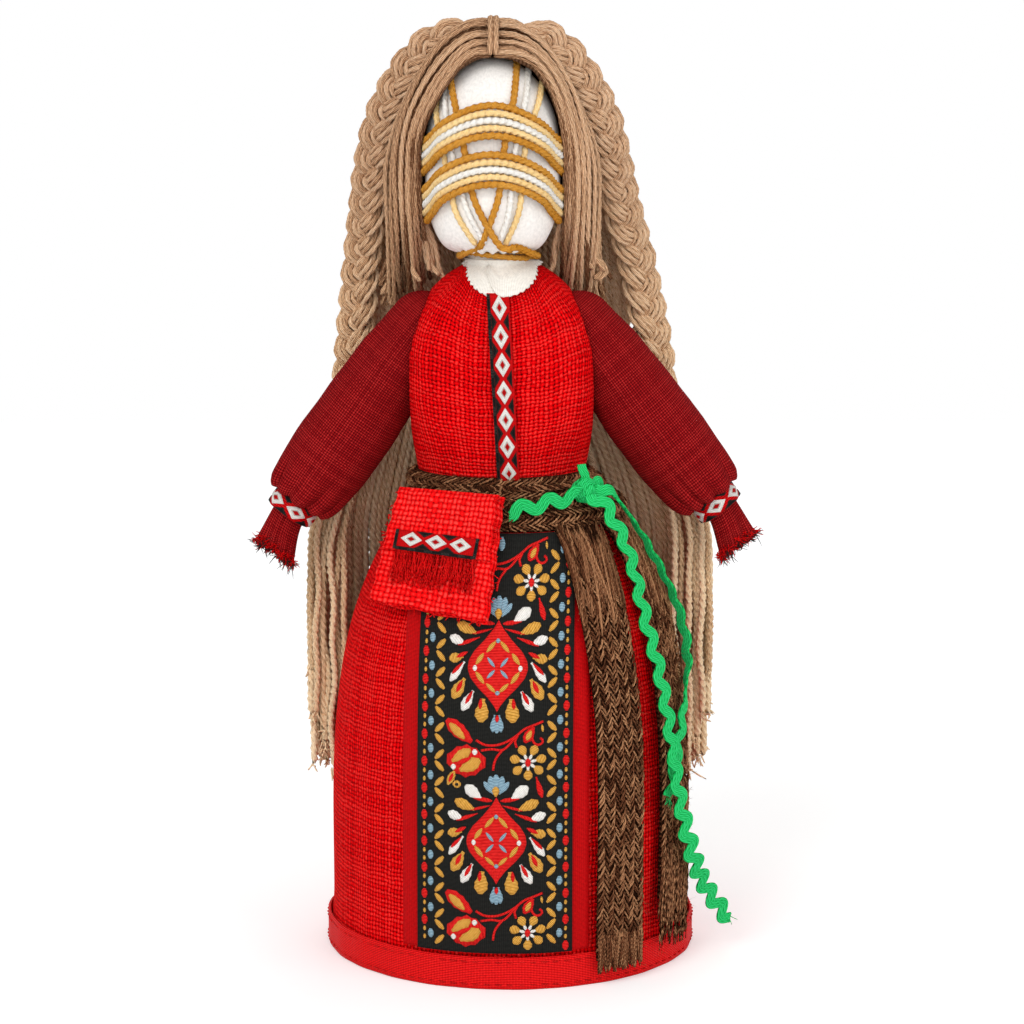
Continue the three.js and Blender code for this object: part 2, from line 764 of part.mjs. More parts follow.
function faceOpening() {
  const otherSide = faceOpeningSide.map(([x, z]) => [-x, z]).reverse();
  const outline = [[0, faceOpeningTop], ...faceOpeningSide, ...otherSide];
  const shape = new THREE.Shape(outline.map(([x, z]) => new THREE.Vector2(x, z)));
  const depth = capHalfDepth + 2 * hairCapThickness;
  const geometry = new THREE.ExtrudeGeometry(shape, { depth, bevelEnabled: false });
  geometry.rotateX(Math.PI / 2);
  geometry.translate(headX, 0, headHeight);
  return geometry;
}

function addHairCap() {
  const outerWidth = capHalfWidth + hairCapThickness;
  const outerDepth = capHalfDepth + hairCapThickness;
  const { around, up } = hairCapSides;
  const outer = ball(headX, 0, headHeight, outerWidth, outerDepth, capTop - headHeight, around, up);
  const inner = ball(headX, 0, headHeight, capHalfWidth, capHalfDepth, capHalfHeight, around, up);
  const below = box(4 * outerWidth, 4 * outerDepth, 2 * capHalfHeight, headX, 0, capBottom - capHalfHeight);
  const bowl = toSolid(outer).subtract(toSolid(inner)).subtract(toSolid(below));
  const cap = bowl.subtract(toSolid(faceOpening()));
  for (const [side, sign] of [['left', -1], ['right', 1]]) {
    const middle = headX + sign * (outerWidth + partingWidth / 2);
    const half = box(2 * outerWidth, 4 * outerDepth, 4 * capHalfHeight, middle, 0, headHeight);
    const hair = cap.intersect(toSolid(half)).subtract(toSolid(braid(sign, letInGap)));
    addPart(`hair_${side}`, toGeometry(hair), cloth(colours.hair));
  }

  const tieTurns = heights(0, 1, partingTieSteps).map((share) => {
    const turn = degrees(partingTieAngle) + (share * partingTieLength) / (capTop - headHeight);
    const lift = gap + partingTieDiameter / 2;
    const y = -(outerDepth + lift) * Math.sin(turn);
    return new THREE.Vector3(headX, y, headHeight + (capTop - headHeight + lift) * Math.cos(turn));
  });
  const tieCurve = new THREE.CatmullRomCurve3(tieTurns);
  const tie = cord(tieCurve, partingTieDiameter, partingTieSides, partingTieSteps);
  addPart('parting_tie', tie, cloth(colours.hair));
}

function addLocks() {
  for (const [side, sign] of [['left', -1], ['right', 1]]) {
    addPart(`braid_${side}`, braid(sign, 0), cloth(colours.hairEnds));
    const top = capHalfWidth + sideLockRadius;
    const points = sideLockRoute.map(([x, y, z]) => {
      return new THREE.Vector3(headX + sign * (top + x), y, headHeight + z);
    });
    const curve = new THREE.CatmullRomCurve3(points);
    const width = 2 * sideLockRadius;
    const lock = rope(curve, width, width, sideLockSides, sideLockSteps, sideLockEndShare);
    addPart(`side_lock_${side}`, lock, cloth(colours.hair));
  }
}

// The curtain's plan at a height is half an ellipse, open to the front.
function curtainPlan(height) {
  const spread = smooth(headHeight - height, ...backHairSpreadDrop);
  const wrap = smooth(headHeight - height, ...backHairWrapDrop);
  const halfWidth = backHairTopHalfWidth + (backHairEndHalfWidth - backHairTopHalfWidth) * spread;
  const side = backHairTopSide + (backHairEndSide - backHairTopSide) * wrap;
  const lean = 1 - smooth(height, waistHeight + sashUpperRise, bodiceTop);
  const sashBack = sashLowerRadius() + 2 * gap + backHairThickness;
  const skirtBack = skirtRadius(height) + hemBandThickness + 2 * gap + backHairThickness;
  const back = Math.max(backHairTopBack + (sashBack - backHairTopBack) * lean, skirtBack);
  return { middle: headX * (1 - spread), halfWidth, side, back };
}

function addCurtain() {
  const top = capBottom - gap;
  const lockAngle = Math.PI / backHairLocks;
  for (let lock = 0; lock < backHairLocks; lock += 1) {
    const at = (inset) => (s, t) => {
      const height = top + (backHairEndHeight - top) * t;
      const plan = curtainPlan(height);
      const trim = backHairLockGap / 2 / plan.halfWidth;
      const turn = lockAngle * lock + trim + (lockAngle - 2 * trim) * s;
      const x = plan.middle - (plan.halfWidth - inset) * Math.cos(turn);
      return [x, plan.side + (plan.back - plan.side - inset) * Math.sin(turn), height];
    };
    const hair = sheet(backHairSteps.across, backHairSteps.along, at(0), at(backHairThickness));
    addPart(`back_hair_${lock + 1}`, hair, cloth(colours.hairEnds));
  }
}

// Sash: a woollen braid twice round the waist, with both ends hanging on the doll's left.
function addSash() {
  const lowerOut = sashLowerOutside();
  const lowerIn = lowerOut.map(([, z]) => [skirtRadius(z) + gap, z]).reverse();
  addPart('sash_lower', turned([...lowerOut, ...lowerIn, lowerOut[0]], skirtSegments), cloth(colours.wool));

  const high = waistHeight + sashUpperRise;
  const upperOut = sashRound.map(([step, share]) => {
    const z = high + step * sashUpperHalfWidth;
    return [bodiceRadius(z) + gap + sashThickness * share, z];
  });
  const upperIn = upperOut.map(([, z]) => [bodiceRadius(z) + gap, z]).reverse();
  const upper = turned([...upperOut, ...upperIn, upperOut[0]], bodiceSegments);
  upper.scale(1, bodiceDepthRatio, 1);
  upper.translate(bodiceX, 0, 0);
  addPart('sash_upper', upper, cloth(colours.wool));

  const sashOut = sashLowerRadius() + gap;
  const apronEdge = apronStack - apronBackingOffset;
  for (const [name, route] of [['sash_tail_front', sashTailFront], ['sash_tail_side', sashTailSide]]) {
    const top = waistHeight - sashLowerDrop + sashTailTopRise;
    const at = (lift) => (s, t) => {
      const height = top + (route.end - top) * t;
      const offset = 2 * gap + Math.max(hemBandThickness, apronEdge) + lift;
      const radius = Math.max(skirtRadius(height) + offset, sashOut + lift);
      const halfAngle = THREE.MathUtils.radToDeg(sashTailWidth / 2 / radius);
      const azimuth = degrees(route.top + (route.bottom - route.top) * t + halfAngle * (2 * s - 1));
      return [radius * Math.sin(azimuth), -radius * Math.cos(azimuth), height];
    };
    const tail = sheet(sashTailSteps.across, sashTailSteps.along, at(sashTailThickness), at(0));
    addPart(name, tail, cloth(colours.wool));
  }
}

// The outside of the lower turn of the sash, fullest in the middle.
function sashLowerOutside() {
  return sashRound.map(([step, share]) => {
    const z = waistHeight - sashLowerDrop + step * sashLowerHalfWidth;
    return [skirtRadius(z) + gap + sashThickness * share, z];
  });
}

function sashLowerRadius() {
  return Math.max(...sashLowerOutside().map(([radius]) => radius));
}

// Wavy ribbon: a run over the sash, its knot, and two hanging ends.
function hangingRibbon(route) {
  const curve = new THREE.CatmullRomCurve3(route.map((point) => new THREE.Vector3(...point)));
  const at = (lift) => (s, t) => {
    const centre = curve.getPointAt(t);
    const along = curve.getTangentAt(t);
    const out = new THREE.Vector3(centre.x, centre.y, 0).normalize();
    const across = new THREE.Vector3().crossVectors(along, out).normalize();
    centre.addScaledVector(across, ribbonWidth * (s - 0.5)).addScaledVector(out, lift);
    return centre.toArray();
  };
  return sheet(1, ribbonSteps, at(ribbonThickness / 2), at(-ribbonThickness / 2));
}

function addRibbon() {
  const beltRadius = sashLowerRadius() + gap;
  const beltAt = (lift) => (s, t) => {
    const azimuth = degrees(ribbonBeltStart + (ribbonBeltEnd - ribbonBeltStart) * s);
    const height = waistHeight - sashLowerDrop + ribbonBeltRise * (1 + s) + ribbonWidth * (t - 0.5);
    const radius = beltRadius + lift;
    return [radius * Math.sin(azimuth), -radius * Math.cos(azimuth), height];
  };
  const belt = sheet(ribbonBeltSteps, 1, beltAt(ribbonThickness), beltAt(0));
  addPart('ribbon_belt', belt, cloth(colours.green));

  const [, middle, rim] = sashLowerOutside().map(([radius, z]) => new THREE.Vector2(radius, z));
  const face = rim.clone().sub(middle);
  const seat = middle.clone().lerp(rim, knotSeat);
  seat.addScaledVector(new THREE.Vector2(face.y, -face.x).normalize(), knotRadius + gap);
  const knotX = seat.x * Math.sin(degrees(knotAzimuth));
  const knotY = -seat.x * Math.cos(degrees(knotAzimuth));
  const { around, up } = knotSides;
  const knot = ball(knotX, knotY, seat.y, knotRadius, knotRadius, knotRadius, around, up);
  addPart('ribbon_knot', knot, cloth(colours.green));
  addPart('ribbon_tail_long', hangingRibbon(ribbonLongRoute), cloth(colours.green));
  addPart('ribbon_tail_short', hangingRibbon(ribbonShortRoute), cloth(colours.green));
}

// Purse: two flat panels and a flap with a trim and a fringe, hung from the sash over the apron.
function addPurse() {
  const top = waistHeight + purseRise;
  const sashHeight = waistHeight - sashLowerDrop;
  const bottom = top - purseLength * purseSeatShare;
  const nearSash = sashLowerRadius() + gap;
  const nearSkirt = skirtRadius(bottom) + apronStack + gap;
  const slope = (nearSkirt - nearSash) / (sashHeight - bottom);
  const turn = degrees(purseAzimuth);
  const out = new THREE.Vector3(Math.sin(turn), -Math.cos(turn), 0);
  const across = new THREE.Vector3(Math.cos(turn), Math.sin(turn), 0);
  const down = new THREE.Vector3(0, 0, -1).addScaledVector(out, slope).normalize();
  const group = new THREE.Group();
  const hinge = out.clone().multiplyScalar(nearSash - slope * (top - sashHeight)).setZ(top);
  const normal = new THREE.Vector3().crossVectors(across, down).negate();
  const frame = new THREE.Matrix4().makeBasis(across, down.clone().negate(), normal);
  group.quaternion.setFromRotationMatrix(frame);
  group.position.copy(hinge);
  doll.add(group);

  const halfWidth = (drop) => (purseTopWidth + (purseBottomWidth - purseTopWidth) * (drop / purseLength)) / 2;
  const panel = (name, from, to, base, thickness, inset, colour) => {
    const at = (lift) => (s, t) => {
      const drop = from + (to - from) * t;
      return [(halfWidth(drop) - inset) * (2 * s - 1), -drop, base + lift];
    };
    addPart(name, sheet(purseSteps, purseSteps, at(thickness), at(0)), cloth(colour), group);
  };
  const frontBase = purseCloth + gap;
  const flapBase = frontBase + purseCloth + gap;
  const trimEnd = flapLength - gap;
  panel('purse_back', 0, purseLength, 0, purseCloth, 0, colours.burlap);
  panel('purse_front', purseMouthDrop, purseLength, frontBase, purseCloth, 0, colours.burlap);
  panel('purse_flap', 0, flapLength, flapBase, purseCloth, flapInset, colours.burlap);
  const trimStart = trimEnd - purseTrimWidth;
  const trimBase = flapBase + purseCloth + gap;
  panel('purse_trim', trimStart, trimEnd, trimBase, trimThickness, purseTrimInset, colours.ribbonBlack);
  const fringeStart = flapLength + gap;
  const fringeEnd = fringeStart + fringeLength;
  panel('purse_fringe', fringeStart, fringeEnd, flapBase, fringeThickness, purseTrimInset, colours.burlap);
}

addSkirt();
addApron();
addBodice();
addNeck();
addHead();
addStrands();
addBands();
addHairCap();
addLocks();
addCurtain();
addArm('left');
addArm('right');
addSash();
addRibbon();
addPurse();

export default doll;
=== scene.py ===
import math

import bmesh
import bpy
import numpy as np
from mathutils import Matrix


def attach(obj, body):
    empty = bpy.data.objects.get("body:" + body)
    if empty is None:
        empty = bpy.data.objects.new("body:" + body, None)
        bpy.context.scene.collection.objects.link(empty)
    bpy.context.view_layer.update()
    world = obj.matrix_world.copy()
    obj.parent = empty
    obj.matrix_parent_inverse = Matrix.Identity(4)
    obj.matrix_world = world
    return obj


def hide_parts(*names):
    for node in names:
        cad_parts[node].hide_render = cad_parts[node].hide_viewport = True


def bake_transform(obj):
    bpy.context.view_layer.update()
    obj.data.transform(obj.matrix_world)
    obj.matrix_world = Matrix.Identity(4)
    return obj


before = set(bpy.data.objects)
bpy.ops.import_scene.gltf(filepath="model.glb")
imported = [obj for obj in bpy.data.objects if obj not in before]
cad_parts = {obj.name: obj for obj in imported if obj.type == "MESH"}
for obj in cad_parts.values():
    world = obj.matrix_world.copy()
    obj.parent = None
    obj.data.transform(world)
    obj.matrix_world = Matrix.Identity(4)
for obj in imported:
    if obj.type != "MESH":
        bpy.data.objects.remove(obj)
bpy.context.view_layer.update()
rng = np.random.default_rng(11)
bpy.ops.object.select_all(action="DESELECT")

# Sizes are in millimetres up to makePiece, which turns them into metres.


def smooth(value, start, end):
    share = np.clip((np.asarray(value, float) - start) / (end - start), 0, 1)
    return share * share * (3 - 2 * share)


def between(value, start, full, ease, end):  # rises to 1, stays there and falls back to 0
    return smooth(value, start, full) * (1 - smooth(value, ease, end))


def unit(vectors):
    return vectors / np.linalg.norm(vectors, axis=-1, keepdims=True)


def lengths(path):
    return np.concatenate([[0], np.cumsum(np.linalg.norm(np.diff(path, axis=0), axis=1))])


def evenly(path, count):
    along = lengths(path)
    wanted = np.linspace(0, along[-1], count)
    return np.stack([np.interp(wanted, along, path[:, k]) for k in range(3)], axis=1)


def spline(points, step):  # even steps on a smooth curve through the points
    p = np.asarray(points, float)
    p = np.vstack([2 * p[0] - p[1], p, 2 * p[-1] - p[-2]])
    t = np.linspace(0, 1, 16, endpoint=False)[:, None]
    runs = []
    for a, b, c, d in zip(p, p[1:], p[2:], p[3:]):
        bend = 2 * a - 5 * b + 4 * c - d
        runs.append(0.5 * (2 * b + (c - a) * t + bend * t**2 + (3 * b - a - 3 * c + d) * t**3))
    dense = np.vstack([*runs, p[-2:-1]])
    return evenly(dense, max(4, int(lengths(dense)[-1] / step) + 1))


def waves(points, scale, seed):  # soft lumps between -1 and 1, the same on every run
    p = np.asarray(points, float) / scale + seed * 3.7
    x, y, z = p[..., 0], p[..., 1], p[..., 2]
    slow = np.sin(x + 1.7 * np.sin(y + z)) + np.sin(1.3 * y - 1.1 * np.sin(z - x))
    slow = slow + np.sin(0.9 * z + np.sin(x))
    fast = np.sin(2.3 * x - y) * np.sin(2.1 * z + 1.4 * y)
    return (slow + fast) / 4


# A pile gathers the points and faces of one piece.
def newPile():
    return {"points": [], "tones": [], "count": 0, "faces": {4: [], 3: []}, "uvs": {4: [], 3: []}}


def addGrid(pile, grid, wrap=False, loop=False, ends=False, us=None, vs=None, tone=0.5):
    rows, cols = grid.shape[:2]
    start = pile["count"]
    pile["points"].append(grid.reshape(-1, 3))
    pile["tones"].append(np.broadcast_to(tone, (rows, cols)).reshape(-1).astype(float))
    pile["count"] += rows * cols
    lastCol = cols if wrap else cols - 1
    lastRow = rows if loop else rows - 1
    us = np.arange(lastCol + 1) * 0.001 if us is None else np.asarray(us)
    vs = np.arange(lastRow + 1) * 0.001 if vs is None else np.asarray(vs)
    r, c = [k.ravel() for k in np.meshgrid(np.arange(lastRow), np.arange(lastCol), indexing="ij")]
    nextRow, nextCol = (r + 1) % rows, (c + 1) % cols
    quads = np.stack([r * cols + c, r * cols + nextCol, nextRow * cols + nextCol, nextRow * cols + c], axis=1)
    u = us[np.stack([c, c + 1, c + 1, c], axis=1)]
    v = vs[np.stack([r, r, r + 1, r + 1], axis=1)]
    pile["faces"][4].append(quads + start)
    pile["uvs"][4].append(np.stack([u, v], axis=2))
    if ends:
        for row in (0, rows - 1):
            ring = start + row * cols + np.arange(cols)
            centre = pile["count"]
            pile["points"].append(grid[row].mean(axis=0)[None])
            pile["tones"].append(pile["tones"][-1][-1:])
            pile["count"] += 1
            fan = np.stack([ring, np.roll(ring, -1), np.full(cols, centre)], axis=1)
            pile["faces"][3].append(fan)
            spot = np.array([us[0], vs[row]])
            pile["uvs"][3].append(np.broadcast_to(spot, (cols, 3, 2)))


def makePiece(name, pile, finish, body, nodes=()):
    mesh = bpy.data.meshes.new(name)
    points = np.concatenate(pile["points"]) * 0.001
    faces = {k: np.concatenate(v) for k, v in pile["faces"].items() if v}
    corners = np.concatenate([f.ravel() for f in faces.values()])
    sizes = np.concatenate([np.full(len(f), k) for k, f in faces.items()])
    uvs = np.concatenate([np.concatenate(v).reshape(-1, 2) for v in pile["uvs"].values() if v])
    mesh.vertices.add(len(points))
    mesh.vertices.foreach_set("co", points.ravel())
    mesh.loops.add(len(corners))
    mesh.loops.foreach_set("vertex_index", corners.astype(np.int32))
    mesh.polygons.add(len(sizes))
    mesh.polygons.foreach_set("loop_start", np.concatenate([[0], np.cumsum(sizes)[:-1]]).astype(np.int32))
    mesh.polygons.foreach_set("use_smooth", np.ones(len(sizes), bool))
    mesh.uv_layers.new(name="UVMap").uv.foreach_set("vector", uvs.ravel())
    mesh.attributes.new("tone", "FLOAT", "POINT").data.foreach_set("value", np.concatenate(pile["tones"]))
    mesh.update(calc_edges=True)
    shell = bmesh.new()
    shell.from_mesh(mesh)
    bmesh.ops.remove_doubles(shell, verts=shell.verts, dist=2e-7)
    bmesh.ops.recalc_face_normals(shell, faces=shell.faces)
    shell.to_mesh(mesh)
    shell.free()
    mesh.materials.append(finish)
    piece = bpy.data.objects.new(name, mesh)
    bpy.context.collection.objects.link(piece)
    if body:
        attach(piece, body)
    if nodes:
        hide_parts(*nodes)
    return piece


# Twisted cord round a path: a few plies that turn as they go.
def addCord(
    pile, path, radius, ref=(0, 0, 1), plies=3, groove=0.16, turnLength=7, sides=12, tone=0.5, taper=0.5,
    shade=0.0,
):
    along = unit(np.gradient(path, axis=0))
    across = unit(np.cross(along, np.broadcast_to(np.asarray(ref, float), path.shape)))
    out = np.cross(across, along)
    far = lengths(path)
    turn = 2 * math.pi * np.arange(sides) / sides
    angle = turn[None] + (2 * math.pi * far / turnLength)[:, None] + rng.uniform(0, 6)
    size = np.broadcast_to(radius, far.shape) * np.ones_like(far)
    size[[0, -1]] *= taper
    ply = size[:, None] * (1 - groove + groove * np.cos(plies * turn))[None]
    grid = path[:, None] + across[:, None] * (ply * np.cos(angle))[..., None]
    grid = grid + out[:, None] * (ply * np.sin(angle))[..., None]
    us = np.linspace(0, 0.002 * math.pi * float(np.mean(size)), sides + 1)
    tones = tone + shade * (np.cos(plies * turn) - 0.3)[None]  # painted shade between the plies, lighter on their crowns
    addGrid(pile, grid, wrap=True, ends=True, us=us, vs=far * 0.001, tone=tones)


# Closed wall between two tubes.
def addShell(pile, outer, inner, us, run):
    vs = np.concatenate([run, run[::-1], run[:1]])
    addGrid(pile, np.concatenate([outer, inner[::-1]]), wrap=True, loop=True, us=us, vs=vs)


# Cloth of a given thickness between two surfaces, given as grids of points.
def addSheet(pile, outer, inner, us, vs, tone=0.5):
    rows, cols = outer.shape[:2]
    ring = np.concatenate([outer, inner[:, ::-1]], axis=1)
    us = np.concatenate([us, us[::-1], us[:1]])
    addGrid(pile, ring, wrap=True, us=us, vs=vs, tone=tone)
    for row in (0, rows - 1):
        edge = np.stack([outer[row], inner[row]])
        addGrid(pile, edge, us=us[:cols], vs=[vs[row], vs[row]], tone=np.mean(tone))


# Short loose fibres that stand out of a surface.
def addFibres(pile, roots, outward, size, radius, tone=0.5):
    count = len(roots)
    lean = unit(outward + rng.normal(0, 0.6, (count, 3)))
    curl = unit(rng.normal(0, 1, (count, 3)))
    reach = size * rng.uniform(0.5, 1.3, count)
    for root, way, bend, far in zip(roots, lean, curl, reach):
        t = np.linspace(0, 1, 5)[:, None]
        path = root + way * far * t + bend * far * 0.5 * t**2
        thin = radius * (1 - 0.5 * t[:, 0])
        addCord(pile, path, thin, ref=bend + 0.01, plies=1, groove=0, sides=3, tone=tone)


# Finishes
def srgb(*levels):  # red, green and blue, from 0 to 255
    return (*[c / 255 / 12.92 if c <= 10 else ((c / 255 + 0.055) / 1.055) ** 2.4 for c in levels], 1)


def shades(*stops):  # a place on the ramp and its colour, in turn
    return [(place, srgb(*colour)) for place, *colour in stops]


def newFinish(name, roughness, specular=0.03):
    finish = bpy.data.materials.new(name)
    finish.use_nodes = True
    shader = finish.node_tree.nodes["Principled BSDF"]
    shader.inputs["Roughness"].default_value = roughness
    shader.inputs["Specular IOR Level"].default_value = specular
    return finish, finish.node_tree, shader


def calc(tree, operation, *terms):
    made = tree.nodes.new("ShaderNodeMath")
    made.operation = operation
    for socket, term in zip(made.inputs, terms):
        if isinstance(term, (int, float)):
            socket.default_value = term
        else:
            tree.links.new(term, socket)
    return made.outputs[0]


# Thread counts across and along the cloth, with the threads wandering a little.
def clothCoords(tree, perU, perV, wander):
    uv = tree.nodes.new("ShaderNodeUVMap")
    uv.uv_map = "UVMap"
    drift = tree.nodes.new("ShaderNodeTexNoise")
    drift.inputs["Scale"].default_value = 160
    drift.inputs["Detail"].default_value = 1
    tree.links.new(uv.outputs[0], drift.inputs["Vector"])
    split = tree.nodes.new("ShaderNodeSeparateXYZ")
    tree.links.new(uv.outputs[0], split.inputs[0])
    driftParts = tree.nodes.new("ShaderNodeSeparateColor")
    tree.links.new(drift.outputs["Color"], driftParts.inputs[0])
    counts = []
    for axis, perMetre in enumerate((perU, perV)):
        straight = calc(tree, "MULTIPLY", split.outputs[axis], perMetre)
        counts.append(calc(tree, "MULTIPLY_ADD", driftParts.outputs[axis], wander, straight))
    return uv.outputs[0], *counts


def ridges(tree, count, share=1.0):  # a rounded ridge for each thread
    return calc(tree, "ABSOLUTE", calc(tree, "SINE", calc(tree, "MULTIPLY", count, math.pi * share)))


def noiseAt(tree, vector, scale, detail=2, stretch=None):
    if stretch:
        mapping = tree.nodes.new("ShaderNodeMapping")
        mapping.inputs["Scale"].default_value = stretch
        tree.links.new(vector, mapping.inputs["Vector"])
        vector = mapping.outputs[0]
    made = tree.nodes.new("ShaderNodeTexNoise")
    made.inputs["Scale"].default_value = scale
    made.inputs["Detail"].default_value = detail
    tree.links.new(vector, made.inputs["Vector"])
    return made.outputs["Fac"]


def ramp(tree, value, stops):
    made = tree.nodes.new("ShaderNodeValToRGB")
    bar = made.color_ramp.elements
    while len(bar) < len(stops):
        bar.new(0.5)
    for element, (place, colour) in zip(bar, stops):
        element.position = place
        element.color = colour
    tree.links.new(value, made.inputs[0])
    return made.outputs[0]


def blendColours(tree, share, first, second, kind="MIX"):
    made = tree.nodes.new("ShaderNodeMix")
    made.data_type = "RGBA"
    made.blend_type = kind
    for socket, term in ((made.inputs[0], share), (made.inputs[6], first), (made.inputs[7], second)):
        if isinstance(term, (int, float, tuple)):
            socket.default_value = term
        else:
            tree.links.new(term, socket)
    return made.outputs[2]


def bumpInto(tree, shader, height, distance):
    bump = tree.nodes.new("ShaderNodeBump")
    bump.inputs["Distance"].default_value = distance
    tree.links.new(height, bump.inputs["Height"])
    tree.links.new(bump.outputs[0], shader.inputs["Normal"])


# Plain weave: warp and weft go over each other in turn, each thread of its own thickness.
def weaveFinish(name, stops, pitch, depth, wander=0.5, slub=0.4, uneven=0.5):
    finish, tree, shader = newFinish(name, 0.9)
    uv, u, v = clothCoords(tree, 1 / pitch, 1 / pitch, wander)
    sinU = calc(tree, "SINE", calc(tree, "MULTIPLY", u, math.pi))
    sinV = calc(tree, "SINE", calc(tree, "MULTIPLY", v, math.pi))
    over = calc(tree, "MULTIPLY", sinU, sinV)
    warp = calc(tree, "ADD", calc(tree, "ABSOLUTE", sinU), over)
    weft = calc(tree, "SUBTRACT", calc(tree, "ABSOLUTE", sinV), over)
    heights = []
    for thread, count in ((warp, u), (weft, calc(tree, "ADD", v, 71.3))):
        own = tree.nodes.new("ShaderNodeTexWhiteNoise")
        own.noise_dimensions = "1D"
        tree.links.new(calc(tree, "FLOOR", count), own.inputs["W"])
        size = calc(tree, "MULTIPLY_ADD", own.outputs["Value"], uneven, 1 - uneven / 2)
        heights.append(calc(tree, "MULTIPLY", thread, size))
    height = calc(tree, "MULTIPLY", calc(tree, "MAXIMUM", *heights), 0.5)
    hairs = noiseAt(tree, uv, 5 / pitch, 3)
    lumps = noiseAt(tree, uv, 0.35 / pitch, 2)
    shade = calc(tree, "MULTIPLY_ADD", calc(tree, "SUBTRACT", hairs, 0.5), slub, height)
    # The colour follows the threads' height: painted shade in the gaps between them and a painted highlight
    # on their crowns, mixed with the fibres' own flecks
    colour = ramp(tree, shade, stops)
    patchy = ramp(tree, lumps, [(0.3, (0.84, 0.84, 0.84, 1)), (0.7, (1, 1, 1, 1))])
    tree.links.new(blendColours(tree, 1.0, colour, patchy, "MULTIPLY"), shader.inputs["Base Color"])
    bumpInto(tree, shader, calc(tree, "MULTIPLY_ADD", hairs, 0.25, height), depth)
    return finish


# Twisted yarn: fine fibres wind along each ply. The tone attribute tells one cord from the next and also
# carries the painted shade between the plies; the colour is darker between the fibres as painted shade.
def yarnFinish(name, dark, mid, light, bump=0.00016, roughness=0.92, byHeight=None):
    finish, tree, shader = newFinish(name, roughness)
    uv, u, v = clothCoords(tree, 1 / 0.0006, 1 / 0.0016, 0.5)
    fibres = ridges(tree, calc(tree, "ADD", u, v))
    streaks = noiseAt(tree, uv, 1, 3, (4200, 420, 1))
    tone = tree.nodes.new("ShaderNodeAttribute")
    tone.attribute_name = "tone"
    mixed = calc(tree, "MULTIPLY_ADD", calc(tree, "SUBTRACT", streaks, 0.5), 0.7, tone.outputs["Fac"])
    mixed = calc(tree, "MULTIPLY_ADD", calc(tree, "SUBTRACT", fibres, 0.62), 0.5, mixed)
    colour = ramp(tree, mixed, shades((0.1, *dark), (0.5, *mid), (0.9, *light)))
    if byHeight:  # the hair is paler towards its ends: partly the cords' own colour, partly painted light that lifts the lower hair out of the shade of the arms and skirt
        low, high, tint = byHeight
        place = tree.nodes.new("ShaderNodeTexCoord")
        split = tree.nodes.new("ShaderNodeSeparateXYZ")
        tree.links.new(place.outputs["Object"], split.inputs[0])
        rise = calc(tree, "DIVIDE", calc(tree, "SUBTRACT", split.outputs[2], low), high - low)
        tints = ramp(tree, rise, [(0.0, (1, 1, 1, 1)), (1.0, tint)])
        colour = blendColours(tree, 1.0, colour, tints, "MULTIPLY")
    tree.links.new(colour, shader.inputs["Base Color"])
    bumpInto(tree, shader, calc(tree, "MULTIPLY_ADD", fibres, 0.8, streaks), bump)
    return finish


# Satin stitch: fine threads side by side across the pad.
def stitchFinish(name, base, light, pitch=0.00046):
    finish, tree, shader = newFinish(name, 0.6, 0.05)
    uv, _, v = clothCoords(tree, 1 / pitch, 1 / pitch, 0.25)
    stitches = ridges(tree, v)
    flecks = noiseAt(tree, uv, 1, 2, (620, 1700, 1))
    shade = calc(tree, "MULTIPLY_ADD", calc(tree, "SUBTRACT", flecks, 0.5), 1.1, stitches)
    # The colour follows the stitches' ridges: painted shade between the stitches and a painted highlight on
    # their crowns
    dark = (*[c * 0.4 for c in srgb(*base)[:3]], 1)
    colour = ramp(tree, shade, [(0.05, dark), *shades((0.5, *base), (1.0, *light))])
    tree.links.new(colour, shader.inputs["Base Color"])
    bumpInto(tree, shader, stitches, 0.0002)
    return finish


# Ribbed ribbon: close weft ribs, with a fleck of the warp between them.
def ribFinish(name, dark, base, light, pitch, depth, roughness=0.55):
    finish, tree, shader = newFinish(name, roughness, 0.05)
    uv, u, v = clothCoords(tree, 1 / pitch, 1 / pitch, 0.3)
    warp = calc(tree, "MULTIPLY_ADD", ridges(tree, u, 0.6), 0.4, 0.6)
    height = calc(tree, "MULTIPLY", ridges(tree, v), warp)
    flecks = noiseAt(tree, uv, 1400, 2)
    shade = calc(tree, "MULTIPLY_ADD", calc(tree, "SUBTRACT", flecks, 0.5), 0.5, height)
    # The colour follows the ribs' height: painted shade between the ribs and a painted highlight on them
    colour = ramp(tree, shade, shades((0.05, *dark), (0.5, *base), (1.0, *light)))
    tree.links.new(colour, shader.inputs["Base Color"])
    bumpInto(tree, shader, height, depth)
    return finish


# Each weave's stops run from painted shade in the gaps to a painted highlight on the threads' crowns
burlapStops = shades((0.08, 62, 0, 2), (0.36, 214, 1, 6), (0.62, 242, 5, 10), (0.98, 253, 48, 44))
burlap = weaveFinish("burlap_red", burlapStops, 0.00138, 0.0006, wander=1.1, slub=0.6, uneven=0.9)
purseStops = shades((0.05, 120, 2, 4), (0.28, 232, 8, 12), (0.6, 252, 18, 20), (0.98, 255, 66, 60))
coarseBurlap = weaveFinish("burlap_red_coarse", purseStops, 0.0017, 0.0006, wander=0.9, slub=0.6, uneven=0.7)
wineStops = shades((0.08, 46, 2, 6), (0.36, 112, 8, 12), (0.66, 140, 16, 20), (1.0, 178, 42, 40))
wineCloth = weaveFinish("wine_cloth", wineStops, 0.00082, 0.00024)
creamStops = shades((0.05, 196, 188, 174), (0.4, 236, 230, 220), (1.0, 250, 247, 240))
creamCloth = weaveFinish("cream_cloth", creamStops, 0.00036, 0.00007, slub=0.2, uneven=0.2)
whiteStops = shades((0.05, 224, 217, 208), (0.4, 246, 242, 236), (1.0, 252, 250, 247))
